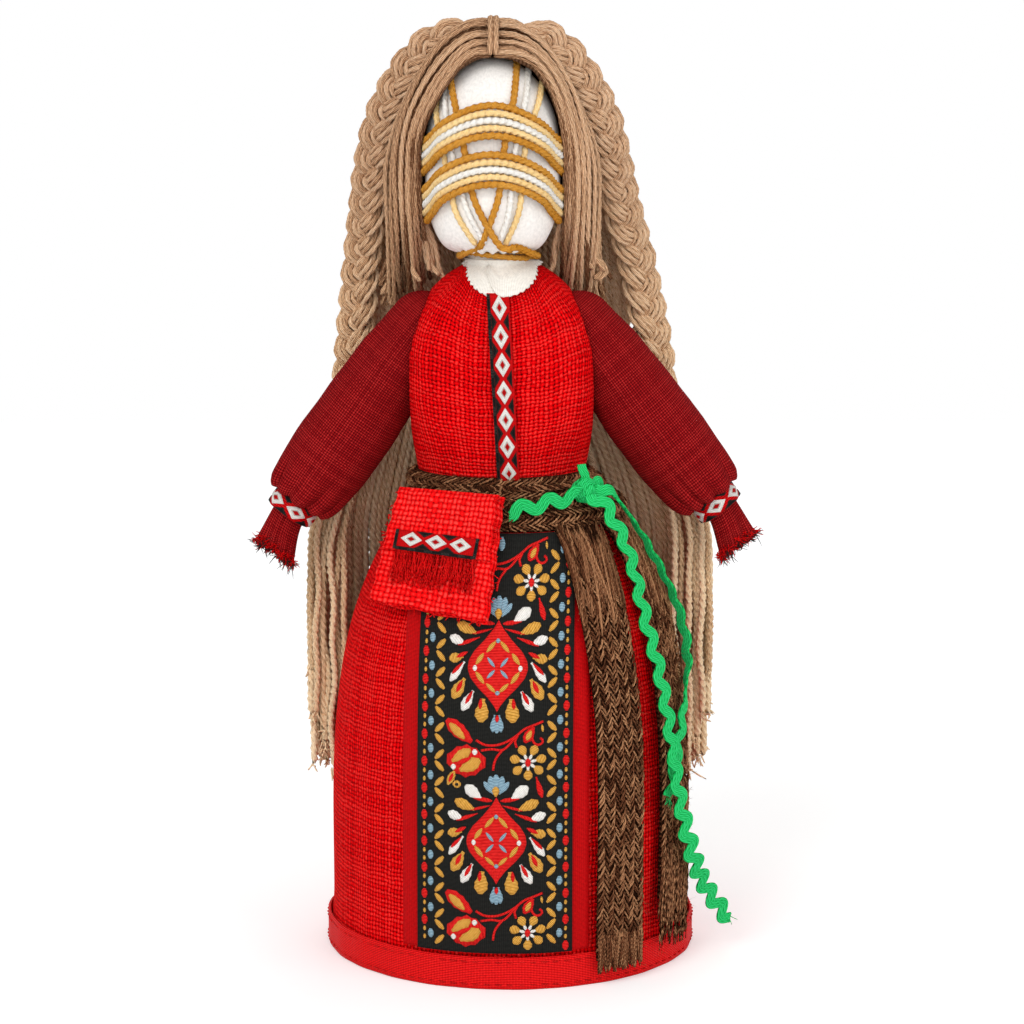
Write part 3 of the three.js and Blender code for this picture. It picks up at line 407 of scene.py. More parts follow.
whiteCloth = weaveFinish("white_cloth", whiteStops, 0.0004, 0.00005, slub=0.15, uneven=0.2)
# Each ribbon's first colour is painted shade between the ribs and its last a painted highlight on them
redTape = ribFinish("red_tape", (116, 0, 4), (216, 5, 10), (238, 38, 36), 0.00055, 0.00012)
redRibbon = ribFinish("red_ribbon", (96, 0, 3), (180, 3, 7), (210, 16, 18), 0.0004, 0.00008)
blackRibbon = ribFinish("black_ribbon", (8, 8, 8), (22, 22, 21), (44, 44, 41), 0.0004, 0.00008, 0.75)
ochreYarn = yarnFinish("ochre_yarn", (140, 78, 12), (208, 140, 44), (238, 184, 96))
yellowYarn = yarnFinish("yellow_yarn", (226, 168, 88), (252, 214, 146), (255, 234, 186))
whiteYarn = yarnFinish("white_yarn", (222, 214, 202), (248, 244, 236), (254, 252, 248))
hairTop = (0.76, 0.70, 0.71, 1)
darkening = (0.14, 0.25, hairTop)  # heights in metres between which the tint sets in
hairCord = yarnFinish("hair_cord", (100, 62, 38), (236, 192, 146), (255, 232, 196), byHeight=darkening)
# A dark cord finish for the sheet under the hair: painted shade
hairShade = yarnFinish("hair_painted_shade", (52, 32, 20), (104, 74, 54), (140, 106, 80))
wool = yarnFinish("brown_wool", (26, 12, 6), (114, 68, 44), (190, 138, 98), 0.0002)
redYarn = yarnFinish("red_yarn", (132, 0, 4), (224, 8, 12), (248, 48, 42))
greenRibbon = yarnFinish("green_ribbon", (2, 96, 42), (20, 176, 82), (58, 210, 126), 0.00008, 0.6)


# Padding and card inside the doll, on the solids' own places
def feltFinish(name, dark, light, scale):
    finish, tree, shader = newFinish(name, 0.95)
    place = tree.nodes.new("ShaderNodeTexCoord")
    tufts = noiseAt(tree, place.outputs["Object"], scale, 5)
    tree.links.new(ramp(tree, tufts, shades((0.3, *dark), (0.7, *light))), shader.inputs["Base Color"])
    bumpInto(tree, shader, tufts, 0.0006)
    return finish


stuffing = feltFinish("stuffing", (206, 198, 186), (244, 240, 232), 420)
torsoRoll = feltFinish("torso_roll", (150, 5, 8), (210, 16, 18), 420)
card = feltFinish("card", (150, 122, 84), (200, 172, 130), 900)
threads = {
    "red": stitchFinish("thread_red", (212, 8, 14), (238, 48, 44)),
    "ochre": stitchFinish("thread_ochre", (206, 138, 40), (236, 184, 92)),
    "white": stitchFinish("thread_white", (240, 234, 224), (253, 251, 247)),
    "blue": stitchFinish("thread_blue", (110, 148, 170), (164, 194, 208)),
    "black": stitchFinish("thread_black", (26, 26, 25), (58, 58, 55)),
}
print("finishes made:", len(bpy.data.materials))


def newPiles():  # one pile for each colour of thread
    return {colour: newPile() for colour in threads}


def makeThreads(name, piles, bodyName):
    for colour, pile in piles.items():
        if pile["count"]:
            makePiece(f"{name}_{colour}", pile, threads[colour], bodyName)


# Stage: a pale floor that keeps the shadow, soft lamps and a white surround
stage = {
    "floorSize": 2.4, "floorGlow": 0.24, "worldLight": 0.62, "aim": (0, 0, 0.15),
    "cameraPlace": (0.0006, -1.05, 0.32), "cameraTilt": 9.66, "lens": 116,
    "lamps": {  # place, power and size
        "key": ((-0.75, -1.25, 1.25), 12.5, 0.9), "fill": ((1.1, -0.9, 0.7), 7, 1.1),
        "front": ((-0.1, -1.7, 0.3), 8, 1.3), "back": ((0.3, 1.2, 1.1), 5, 1.0),
    },
}


def whiteToCamera(tree, strength):
    path = tree.nodes.new("ShaderNodeLightPath")
    seen = calc(tree, "MAXIMUM", path.outputs["Is Camera Ray"], path.outputs["Is Glossy Ray"])
    seen = calc(tree, "MAXIMUM", seen, path.outputs["Is Transmission Ray"])
    return calc(tree, "MULTIPLY", seen, strength)


def makeStage():
    bpy.ops.mesh.primitive_plane_add(size=stage["floorSize"], location=(0, 0, 0))
    floor = bpy.context.active_object
    floor.name = "floor"
    finish, tree, shader = newFinish("pale_floor", 0.8)
    shader.inputs["Base Color"].default_value = (0.86, 0.86, 0.86, 1)
    shader.inputs["Emission Color"].default_value = (1, 1, 1, 1)
    tree.links.new(whiteToCamera(tree, stage["floorGlow"]), shader.inputs["Emission Strength"])
    floor.data.materials.append(finish)

    world = bpy.data.worlds.new("studio")
    bpy.context.scene.world = world
    world.use_nodes = True
    tree = world.node_tree
    background = tree.nodes["Background"]
    background.inputs["Color"].default_value = (1, 1, 1, 1)
    extra = whiteToCamera(tree, 1 - stage["worldLight"])
    tree.links.new(calc(tree, "ADD", extra, stage["worldLight"]), background.inputs["Strength"])

    for name, (place, power, size) in stage["lamps"].items():
        bpy.ops.object.light_add(type="AREA", location=place)
        lamp = bpy.context.active_object
        lamp.name = name
        lamp.data.energy = power
        lamp.data.size = size
        aim = unit(np.array(stage["aim"]) - np.array(place))
        lamp.rotation_euler = (math.pi - math.acos(aim[2]), 0, math.atan2(aim[1], aim[0]) - math.pi / 2)

    tilt = math.radians(90 - stage["cameraTilt"])
    bpy.ops.object.camera_add(location=stage["cameraPlace"], rotation=(tilt, 0, 0))
    camera = bpy.context.active_object
    camera.data.lens = stage["lens"]
    camera.data.sensor_width = 36
    bpy.context.scene.camera = camera
    bpy.context.scene.view_settings.view_transform = "Standard"


makeStage()
print("stage ready")

# Shapes that several pieces lie on, as in the part's own solids
body = {
    "hemRadius": 58.5, "waistRadius": 26.5, "waistHeight": 153, "fullness": 4.3,
    "bodiceX": -2.8, "bodiceDepth": 0.88, "chestRadius": 30.6, "chestHeight": 191, "domeHeight": 33,
    "bodiceTop": 220, "bodiceWaist": 26.3, "headX": -5.5, "headHeight": 256, "headHalf": (21.6, 21.0, 31.0),
    "neckX": -4, "neckRadius": 10.2, "chestSquare": 0.9, "neckline": 213.4, "neckRise": 9.0, "neckSpread": 58,
    "squareHeights": (158, 182, 203, 217),
}
headCentre = np.array([body["headX"], 0, body["headHeight"]])
neckCentre = np.array([body["neckX"], 0, 0])


def skirtRadius(z):
    share = np.clip(np.asarray(z, float) / body["waistHeight"], 0, 1)
    return body["waistRadius"] + (body["hemRadius"] - body["waistRadius"]) * (1 - share ** body["fullness"])


def bodiceRadius(z):
    z = np.asarray(z, float)
    dome = np.sqrt(np.clip(1 - (np.maximum(z - body["chestHeight"], 0) / body["domeHeight"]) ** 2, 0, 1))
    drop = np.clip((body["chestHeight"] - z) / (body["chestHeight"] - body["waistHeight"]), 0, 1.2)
    return body["chestRadius"] * dome - (body["chestRadius"] - body["bodiceWaist"]) * drop * drop


def atRadius(azimuth, radius, z):
    azimuth, radius, z = np.broadcast_arrays(np.radians(azimuth), radius, z)
    return np.stack([radius * np.sin(azimuth), -radius * np.cos(azimuth), z], axis=-1)


def chestPower(z):
    return 2 + body["chestSquare"] * between(z, *body["squareHeights"])


def onBodice(azimuth, z, offset):
    azimuth, z = np.broadcast_arrays(np.radians(azimuth), np.asarray(z, float))
    power = chestPower(z)
    square = (np.abs(np.sin(azimuth)) ** power + np.abs(np.cos(azimuth)) ** power) ** (-1 / power)
    radius = bodiceRadius(z) * square + offset
    x = body["bodiceX"] + radius * np.sin(azimuth)
    return np.stack([x, -body["bodiceDepth"] * radius * np.cos(azimuth), z + 0 * x], axis=-1)


def neckline(azimuth):  # height of the bodice's cut edge, lowest in front
    away = np.abs((np.asarray(azimuth, float) + 180) % 360 - 180)
    return body["neckline"] + body["neckRise"] * smooth(away, 0, body["neckSpread"])


# Wavy green ribbon: belt run, knot and two hanging ends
wavy = {
    "halfWidth": 1.9, "swing": 1.6, "wave": 8.7, "thickness": 0.85, "ridges": 4, "ridge": 0.2, "step": 0.45,
}
longRoute = [
    (25.2, -30.6, 152.2), (29.6, -32.2, 149), (34.6, -33.2, 140), (38, -35.8, 131.5), (42.6, -41, 113),
    (46, -42, 100.5), (48.6, -43, 88), (51.6, -43, 69), (53.8, -41.5, 55), (58, -35, 37), (63, -24, 23),
    (71, -14, 9.5),
]
shortRoute = [
    (26.2, -28.4, 154), (32.5, -27, 151.5), (41, -19, 138.5), (48, -19.5, 126), (53.5, -17.5, 113.5),
    (56.5, -20, 99.5), (55.3, -29.5, 85.5), (53, -35.5, 72), (50.3, -39.8, 57),
]
belt = {"azimuth": -1.5, "turn": 35, "radius": 37.6, "widen": 1.6, "height": 147.2, "rise": 5.2, "points": 70}
# The stub and the loop are drawn across and up from the knot's centre
knot = {
    "centre": (23.3, -27.8, 153.0), "side": (0.8, 0.6, 0), "out": (0.6, -0.8, 0), "turns": 2.6, "points": 120,
    "stub": ((0, 2), (-0.6, 5.5), (-0.4, 8.2)), "loop": ((2, 0), (5.2, 2.6), (6.3, 0.8), (3.5, -1.2)),
}


def addWavy(pile, path, out, roll=0.0, swing=1.0, width=1.0, phase=0.0):
    along = unit(np.gradient(path, axis=0))
    across = unit(np.cross(along, out))
    face = np.cross(across, along)
    roll = np.broadcast_to(np.radians(roll), len(path))[:, None]
    side = across * np.cos(roll) + face * np.sin(roll)
    far = lengths(path)
    middle = path + side * (wavy["swing"] * swing * np.sin(2 * math.pi * far / wavy["wave"] + phase))[:, None]
    along = unit(np.gradient(middle, axis=0))
    face = unit(np.cross(side, along))
    side = np.cross(along, face)
    c = np.linspace(-1, 1, 8 * wavy["ridges"] // 2 + 1)
    valley = np.abs(np.sin(math.pi * wavy["ridges"] * (c + 1) / 2)) < 0.3
    ridge = wavy["thickness"] / 2 - wavy["ridge"] * valley
    ridge = ridge * np.where(np.abs(c) == 1, 0.55, 1)
    half = wavy["halfWidth"] * width
    flat = middle[:, None] + side[:, None] * (half * c)[None, :, None]
    outer = flat + face[:, None] * ridge[None, :, None]
    inner = flat - face[:, None] * ridge[None, :, None]
    # The tone follows the ridges: painted shade in the valleys and along the edges
    tones = 0.25 + 0.4 * ridge / ridge.max()
    addSheet(pile, outer, inner, half * c * 0.001, far * 0.001, np.concatenate([tones, tones[::-1]])[None])


def frayEnd(pile, root, way, count, size, radius, spread, tone):
    for _ in range(count):
        lean = unit(np.asarray(way) + rng.normal(0, spread, 3))
        begin = np.asarray(root) + rng.normal(0, 0.5, 3)
        t = np.linspace(0, 1, 6)[:, None]
        path = begin + lean * size * rng.uniform(0.5, 1.2) * t + rng.normal(0, 0.25, 3) * size * t**2
        addCord(pile, path, radius, ref=rng.normal(0, 1, 3), plies=1, groove=0, sides=4, tone=tone)


def radialOut(path):
    return unit(path * np.array([1, 1, 0]))


def makeRibbons():
    for name, route, roll in (("ribbon_tail_long", longRoute, 0), ("ribbon_tail_short", shortRoute, 55)):
        path = spline(route, wavy["step"])
        pile = newPile()
        share = np.linspace(0, 1, len(path))
        rolled = roll * (1 - smooth(share, 0.55, 0.8)) * smooth(share, 0.0, 0.1)
        calm = 1 - 0.45 * (roll > 0) * (1 - smooth(share, 0.5, 0.75))
        fronted = smooth(share, 0.55, 0.8)[:, None] * (roll == 0)
        out = radialOut(path) * (1 - fronted) + np.array([0.3, -0.95, 0.1]) * fronted
        addWavy(pile, path, out, rolled, calm)
        frayEnd(pile, path[-1], path[-1] - path[-4], 9, 3.2, 0.13, 0.5, 0.6)
        piece = makePiece(f"{name}_wavy", pile, greenRibbon, "sash_ends", (name,))

    share = np.linspace(0, 1, belt["points"])
    azimuth = belt["azimuth"] + belt["turn"] * share
    height = belt["height"] + belt["rise"] * share**0.8
    path = atRadius(azimuth, belt["radius"] + belt["widen"] * share, height)
    pile = newPile()
    addWavy(pile, path, radialOut(path), -14, phase=1.0)
    makePiece("ribbon_belt_wavy", pile, greenRibbon, "doll", ("ribbon_belt",))

    centre, up = np.array(knot["centre"]), np.array([0, 0, 1.0])
    side, out = np.array(knot["side"]), np.array(knot["out"])
    pile = newPile()
    turn = np.linspace(0, 2 * math.pi * knot["turns"], knot["points"])[:, None]
    drift = np.linspace(-1, 1, knot["points"])[:, None]
    wraps = [(side, up, out, 2.4, 0.35), (up * 0.8 + side * 0.6, out, side * 0.8 - up * 0.6, 1.6, -0.25)]
    for first, second, axis, travel, lean in wraps:
        path = centre + first * np.cos(turn) * 3.3 + second * np.sin(turn) * 3.0
        path = path + axis * (drift * travel + lean * np.sin(turn))
        addWavy(pile, path, unit(path - centre), 0, 0, 0.8)
    for places, roll, swing, width in ((knot["stub"], 20, 0.4, 0.75), (knot["loop"], 25, 0.2, 0.8)):
        end = spline([centre + side * across + up * rise for across, rise in places], 0.4)
        addWavy(pile, end, out[None] + 0 * end, roll, swing, width)
    knob = [centre + out * 0.5 + side * k for k in (-2.2, 0, 2.2)]
    addCord(pile, spline(knob, 0.5), 2.3, plies=3, groove=0.1, turnLength=9, tone=0.45)
    makePiece("ribbon_knot_wavy", pile, greenRibbon, "doll", ("ribbon_knot",))


makeRibbons()
print("ribbons laid")

# Skirt: stuffed burlap, gathered a little under the sash
skirt = {
    "around": 260, "up": 96, "gathers": 30, "gatherDepth": 0.9, "ripple": 0.45, "deepest": 0.8, "cloth": 1.0,
}


def makeSkirt():
    z = 0.3 + (body["waistHeight"] - 0.3) * np.linspace(0, 1, skirt["up"]) ** 0.85
    azimuth = np.arange(skirt["around"]) * 360 / skirt["around"]
    plain = atRadius(azimuth[None], skirtRadius(z)[:, None], z[:, None])
    lumps = skirt["ripple"] * (waves(plain, 26, 1) - 1) * smooth(z, 4, 18)[:, None]
    folds = np.cos(np.radians(azimuth * skirt["gathers"] + 40 * np.sin(np.radians(azimuth * 7)))) - 1
    lumps = lumps + skirt["gatherDepth"] * 0.5 * folds[None] * smooth(z, 104, 142)[:, None]
    lumps = np.maximum(lumps, -skirt["deepest"])
    outer = atRadius(azimuth[None], skirtRadius(z)[:, None] + lumps, z[:, None])
    inner = atRadius(azimuth[None], skirtRadius(z)[:, None] + lumps - skirt["cloth"], z[:, None])
    us = np.radians(np.linspace(0, 360, skirt["around"] + 1)) * body["hemRadius"] * 0.001
    climb = lengths(plain[:, 0]) * 0.001
    pile = newPile()
    addShell(pile, outer, inner, us, climb)
    piece = makePiece("skirt_burlap", pile, burlap, "doll", ("skirt_shell",))


makeSkirt()

# Red tape folded round the hem, with two rows of stitches
hem = {
    "around": 240, "stitches": 104, "stitchLength": 2.4, "stitchRadius": 0.22, "stitchHeights": (1.7, 9.0),
    "profile": (  # out from the skirt's foot and up
        (0.25, 0.25), (0.7, 0.02), (1.15, 0.25), (1.35, 1.4), (1.3, 4.5), (1.32, 8.2), (1.25, 9.8),
        (0.95, 10.4), (0.55, 10.5), (0.3, 10.1), (0.28, 5.0), (0.22, 1.2),
    ),
}


def makeHem():
    r = body["hemRadius"]
    profile = np.array(hem["profile"]) + np.array([r, 0])
    azimuth = np.arange(hem["around"]) * 360 / hem["around"]
    puff = 0.1 * np.sin(np.radians(azimuth * 26)) + 0.08 * np.sin(np.radians(azimuth * 11 + 40))
    outside = (profile[:, 0] > r + 0.6)[:, None]
    grid = atRadius(azimuth[None], profile[:, :1] + puff[None] * outside, profile[:, 1:])
    us = np.radians(np.linspace(0, 360, hem["around"] + 1)) * r * 0.001
    vs = np.concatenate([lengths(profile[:, [0, 1, 1]] * [1, 1, 0]), [24]]) * 0.001
    pile = newPile()
    addGrid(pile, grid, wrap=True, loop=True, us=us, vs=vs)
    makePiece("hem_tape", pile, redTape, "doll", ("hem_band",))

    pile = newPile()
    for z in hem["stitchHeights"]:
        for k in range(hem["stitches"]):
            half = math.degrees(hem["stitchLength"] / 2 / (r + 1.35))
            az = np.linspace(-half, half, 6) + k * 360 / hem["stitches"]
            sink = 0.22 * np.array([1.6, 0.4, 0, 0, 0.4, 1.6])
            path = atRadius(az, r + 1.5 - sink, z + 0.05 * math.sin(k))
            addCord(pile, path, hem["stitchRadius"], plies=2, groove=0.1, turnLength=1.2, sides=6, tone=0.5)
    makePiece("hem_stitches", pile, threads["red"], "doll")


makeHem()
print("skirt and hem sewn")

# Apron: a jacquard ribbon on a wider plain one. The motif is drawn in its own units on one repeat.
apron = {
    "azimuth": -5, "width": 50, "backingWidth": 61, "bottom": 12, "top": 140.9, "backingLift": 0.5,
    "ribbonLift": 1.3, "unitX": 0.0535, "unitZ": 0.052, "middleX": 552, "middleY": 830, "repeat": 1040,
    "centreHeight": 47.5, "axis": 570, "flower": (753, 340), "petals": 7,
}


def onApron(x, z, lift):
    radius = skirtRadius(z) + lift
    return atRadius(apron["azimuth"] + np.degrees(x / radius), radius, z)


def apronSheet(name, width, lift, thickness, finish):
    across = np.linspace(-0.5, 0.5, 41) * width
    z = np.linspace(apron["bottom"], apron["top"], 120)
    outer = onApron(across[None], z[:, None], lift + thickness)
    inner = onApron(across[None], z[:, None], lift)
    climb = lengths(outer[:, 20])
    pile = newPile()
    addSheet(pile, outer, inner, across * 0.001, climb * 0.001)
    piece = makePiece(f"{name}_woven", pile, finish, "doll", (name,))


# One satin pad from a to b. Swell moves its widest place along, and blunt squares its ends.
def addPad(pile, place, a, b, width, swell=1.0, blunt=0.6, crown=0.42, rows=9, cols=5):
    a, b = np.asarray(a, float), np.asarray(b, float)
    t = np.linspace(0, 1, rows)
    c = np.linspace(-1, 1, cols)
    way = (b - a) / np.linalg.norm(b - a)
    side = np.array([-way[1], way[0]])
    half = width / 2 * np.clip(np.sin(math.pi * t**swell), 0.12, 1) ** blunt
    half = half * (1 - 0.13 * (np.arange(rows) % 2))
    flat = a + (b - a) * t[:, None, None] + side * (half[:, None] * c[None])[..., None]
    lift = crown * np.sqrt(1 - 0.92 * c**2)[None] * np.clip(np.sin(math.pi * t), 0.3, 1)[:, None] ** 0.4
    far = t * np.linalg.norm(b - a)
    top = place(flat[..., 0], flat[..., 1], lift)
    under = place(flat[..., 0], flat[..., 1], np.full_like(lift, -0.12))
    addSheet(pile, top, under, c * width / 2 * 0.001, far * 0.001)


def addLine(pile, place, points, width, crown=0.4):
    path = spline([(x, y, 0) for x, y in points], 0.8)[:, :2]
    way = unit(np.gradient(path, axis=0))
    side = np.stack([-way[:, 1], way[:, 0]], axis=1)
    c = np.linspace(-1, 1, 5)
    flat = path[:, None] + side[:, None] * (width / 2 * c)[None, :, None]
    lift = np.broadcast_to(crown * np.sqrt(1 - 0.92 * c**2), flat.shape[:2])
    top = place(flat[..., 0], flat[..., 1], lift)
    under = place(flat[..., 0], flat[..., 1], 0 * lift - 0.12)
    addSheet(pile, top, under, c * width / 2 * 0.001, lengths(path) * 0.001)


# Colour, start, end, width, swell, layer, both sides
motif = [
    ("ochre", (505, 735), (556, 672), 27, 1, 1, 1), ("ochre", (487, 742), (444, 806), 29, 1, 1, 1),
    ("ochre", (444, 850), (492, 916), 29, 1, 1, 1), ("ochre", (506, 916), (558, 966), 25, 1, 1, 1),
    ("white", (438, 812), (438, 845), 28, 1, 1, 1), ("blue", (570, 655), (570, 682), 26, 1, 1, 0),
    ("blue", (571, 958), (571, 984), 28, 1, 1, 0), ("blue", (511, 766), (553, 820), 21, 1, 1, 1),
    ("blue", (510, 886), (553, 838), 21, 1, 1, 1),
    ("red", (594, 574), (702, 560), 27, 0.8, 0, 1), ("white", (655, 566), (752, 488), 74, 1.5, 0, 1),
    ("red", (606, 602), (722, 634), 17, 1.2, 0, 1), ("ochre", (696, 630), (815, 578), 66, 1.4, 0, 1),
    ("red", (678, 652), (806, 702), 24, 1.4, 0, 1), ("white", (764, 692), (856, 656), 58, 1.4, 0, 1),
    ("red", (748, 738), (812, 772), 25, 1, 1, 1), ("ochre", (772, 766), (858, 784), 60, 1.4, 0, 1),
    ("white", (764, 796), (850, 912), 48, 1.7, 0, 1), ("red", (775, 800), (838, 868), 22, 1.3, 1, 1),
    ("ochre", (762, 892), (832, 1012), 74, 1.4, 0, 1), ("red", (776, 904), (808, 972), 28, 1.2, 1, 1),
    ("white", (710, 962), (774, 1080), 62, 1.5, 0, 1), ("red", (714, 962), (754, 1038), 25, 1.2, 1, 1),
    ("ochre", (650, 1006), (664, 1146), 86, 1.5, 0, 1), ("red", (664, 1004), (668, 1066), 25, 1.2, 1, 1),
    ("blue", (583, 1100), (594, 1200), 40, 1.6, 0, 1), ("blue", (570, 1130), (570, 1208), 42, 1.2, 0, 0),
    ("red", (573, 1100), (571, 1142), 24, 1, 1, 0),
    ("blue", (588, 515), (606, 426), 42, 1.5, 0, 1), ("blue", (568, 512), (568, 414), 46, 1.4, 0, 0),
    ("blue", (586, 532), (642, 460), 38, 1.3, 0, 1), ("ochre", (567, 546), (567, 486), 44, 1.2, 1, 0),
    ("red", (276, 334), (508, 344), 196, 1, 0, 0), ("ochre", (308, 344), (418, 270), 66, 1.2, 1, 0),
    ("ochre", (356, 396), (476, 328), 82, 1.2, 1, 0), ("red", (334, 358), (418, 318), 30, 1, 2, 0),
    ("white", (443, 266), (443, 300), 34, 1, 1, 0), ("white", (316, 360), (316, 394), 34, 1, 1, 0),
    ("red", (272, 100), (424, 224), 92, 0.8, 0, 0), ("ochre", (292, 120), (382, 206), 52, 0.9, 1, 0),
    ("red", (784, 132), (732, 224), 62, 1.2, 0, 0), ("ochre", (770, 152), (744, 208), 32, 1.1, 1, 0),
    ("ochre", (832, 120), (838, 162), 17, 1, 0, 0), ("ochre", (322, 404), (282, 488), 46, 1, 0, 0),
    ("red", (314, 416), (290, 470), 22, 1, 1, 0), ("ochre", (312, 482), (362, 482), 48, 1, 0, 0),
    ("black", (326, 482), (348, 482), 20, 1, 1, 0), ("red", (800, 430), (836, 556), 36, 1.6, 0, 0),
    ("red", (753, 316), (753, 366), 36, 1, 2, 0),
]
vines = [
    ((450, 212), (500, 238), (560, 240), (620, 222), (680, 186), (730, 144), (790, 120), (840, 100)),
    ((680, 186), (640, 238), (600, 268), (540, 263), (480, 273)),
    ((605, 266), (572, 310), (556, 350), (551, 390)),
    ((776, 126), (771, 180), (786, 226), (816, 239), (840, 218), (822, 198)),
    ((692, 182), (676, 214), (686, 252)),
]
# Half widths of the red heart, from its top down
ogee = [
    (-278, 1), (-235, 24), (-165, 78), (-100, 138), (-45, 170), (5, 176), (55, 160), (115, 112), (170, 56),
    (220, 18), (252, 1),
]
# Each border's beads, dots and slanting bars across the ribbon, and how far it is moved up
borders = ((133, 173, (255, 202), 0), (978, 940, (866, 916), 20))


def makeApron():
    apronSheet("apron_backing", apron["backingWidth"], apron["backingLift"], 0.5, redRibbon)
    apronSheet("apron_ribbon", apron["width"], apron["ribbonLift"], 0.6, blackRibbon)
    piles = newPiles()
    base = apron["ribbonLift"] + 0.6

    def place(layer):
        def onLayer(x, z, lift):
            return onApron(x, z, base + 0.3 * layer + lift)
        return onLayer

    def spot(x, y, shift):
        down = y + shift - apron["middleY"]
        return (x - apron["middleX"]) * apron["unitX"], apron["centreHeight"] - down * apron["unitZ"]

    def shown(*spots):
        return all(apron["bottom"] + 0.4 < z < apron["top"] - 0.4 for _, z in spots)

    for repeat in (-2, -1, 0, 1):
        shift = repeat * apron["repeat"]
        pads = list(motif)
        flower = np.array(apron["flower"])
        for k in range(apron["petals"]):
            angle = k * 2 * math.pi / apron["petals"] - 0.45
            way = np.array([math.sin(angle), -math.cos(angle)])
            pads.append(("ochre", flower + way * 40, flower + way * 108, 56, 1.4, 0, 0))
            pads.append(("white", flower + way * 14, flower + way * 50, 20, 1.0, 1, 0))
        for colour, a, b, width, swell, layer, both in pads:
            for sign in (1, -1)[: 1 + both]:
                a2, b2 = [spot(apron["axis"] + sign * (x - apron["axis"]), y, shift) for x, y in (a, b)]
                if shown(a2, b2):
                    addPad(piles[colour], place(layer), a2, b2, width * apron["unitX"], swell)
        for vine in vines:
            points = [spot(x, y, shift) for x, y in vine]
            if shown(*points):
                addLine(piles["red"], place(0), points, 0.75)
        heart = [spot(apron["axis"], apron["middleY"] + y, shift)[1] for y, _ in ogee]
        if shown((0, heart[0]), (0, heart[-1])):
            z = np.linspace(heart[0], heart[-1], 34)
            half = np.interp(-z, [-h for h in heart], [w * apron["unitX"] for _, w in ogee])
            c = np.linspace(-1, 1, 13)
            x = spot(apron["axis"], 0, 0)[0] + half[:, None] * c[None]
            lift = np.broadcast_to(0.34 * (1 - c**6), x.shape)
            grid = [place(0)(x, z[:, None] + 0 * x, k) for k in (lift, 0 * lift - 0.1)]
            addSheet(piles["red"], *grid, c * 0.009, z * 0.001)

    for bead, dot, (near, far), moved in borders:
        row = [
            ("red", (bead, -29), (bead, 29), 42), ("ochre", (bead, 42), (bead, 70), 20),
            ("ochre", (bead, 92), (bead, 120), 20), ("blue", (dot, 54), (dot, 108), 40),
            ("ochre", (near, -76), (far, -20), 34), ("ochre", (far, -6), (near, 50), 34),
        ]
        for k in range(-12, 10):
            shift = 845 + 162 * k - moved
            for colour, a, b, width in row:
                a2, b2 = spot(*a, shift), spot(*b, shift)
                if shown(a2, b2):
                    addPad(piles[colour], place(0), a2, b2, width * apron["unitX"], 1, 0.45, rows=7)
    makeThreads("apron_stitches", piles, "doll")


makeApron()
print("apron stitched")

# Arms: each swings on a ball-shaped root in the shoulder
arms = {
    "shoulderX": 25.2, "shoulderHeight": 202, "hang": {"left": 35.5, "right": 37.5}, "lowest": 5,
    "rootRadius": 11, "fullRadius": 14, "fullAt": 40, "length": 69, "blunt": 3.4, "wrist": 6.6, "cuffEnd": 75,
    "handEnd": 91, "sag": 0.55,
}


def armFrame(side, lift=0.0):
    sign = -1 if side == "left" else 1
    hang = math.radians(arms["hang"][side] + lift)
    hinge = np.array([body["bodiceX"] + sign * arms["shoulderX"], 0, arms["shoulderHeight"]])
    along = np.array([sign * math.sin(hang), 0, -math.cos(hang)])
    front = np.array([0, -1.0, 0])
    return hinge, along, front, np.cross(along, front)


def sleeveRadius(s):
    s = np.asarray(s, float)
    root = np.sqrt(np.clip(arms["rootRadius"] ** 2 - np.minimum(s, 0) ** 2, 0, None))
    swell = np.sin(math.pi / 2 * np.clip(s / arms["fullAt"], 0, 1))
    upper = (arms["fullRadius"] - arms["rootRadius"]) * swell
    share = np.clip((s - arms["fullAt"]) / (arms["length"] - arms["fullAt"]), 0, 1)
    full = (1 - share ** arms["blunt"]) ** (1 / arms["blunt"])
    lower = arms["wrist"] + (arms["fullRadius"] - arms["wrist"]) * full
    return np.where(s < arms["fullAt"], root + upper, lower)


def armPoints(side, turn, radius, s):
    hinge, along, front, beside = armFrame(side)
    turn, radius, s = np.broadcast_arrays(turn, radius, s)
    ring = front * np.cos(turn)[..., None] + beside * np.sin(turn)[..., None]
    return hinge + along * s[..., None] + ring * radius[..., None]


# Satin patch inside an outline, for the woven trims
def addPatch(pile, place, outline, height=0.3):
    outline = np.asarray(outline, float)
    edges = [np.linspace(a, b, 5)[:-1] for a, b in zip(outline, np.roll(outline, -1, axis=0))]
    outline = np.concatenate(edges)
    middle = outline.mean(axis=0)
    rings, lifts = (1.0, 1.0, 0.93, 0.5), (-0.12, 0.5 * height, height, height)
    flat = np.stack([middle + (outline - middle) * k for k in rings])
    lift = np.broadcast_to(np.array(lifts)[:, None], flat.shape[:2])
    grid = place(flat[..., 0], flat[..., 1], lift)
    us = np.arange(len(outline) + 1) * 0.0006
    addGrid(pile, grid, wrap=True, ends=True, us=us, vs=[0, 0.0003, 0.0006, 0.0018])


# Woven trim with white diamonds on red, black between them. x runs across it and y along it.
trim = {"pitch": 8.7, "diamondHalf": (2.35, 3.85), "heartHalf": (0.75, 1.35), "half": 2.75}


def diamond(low, y, high, wide):
    return [(0, low), (wide, y), (0, high), (-wide, y)]


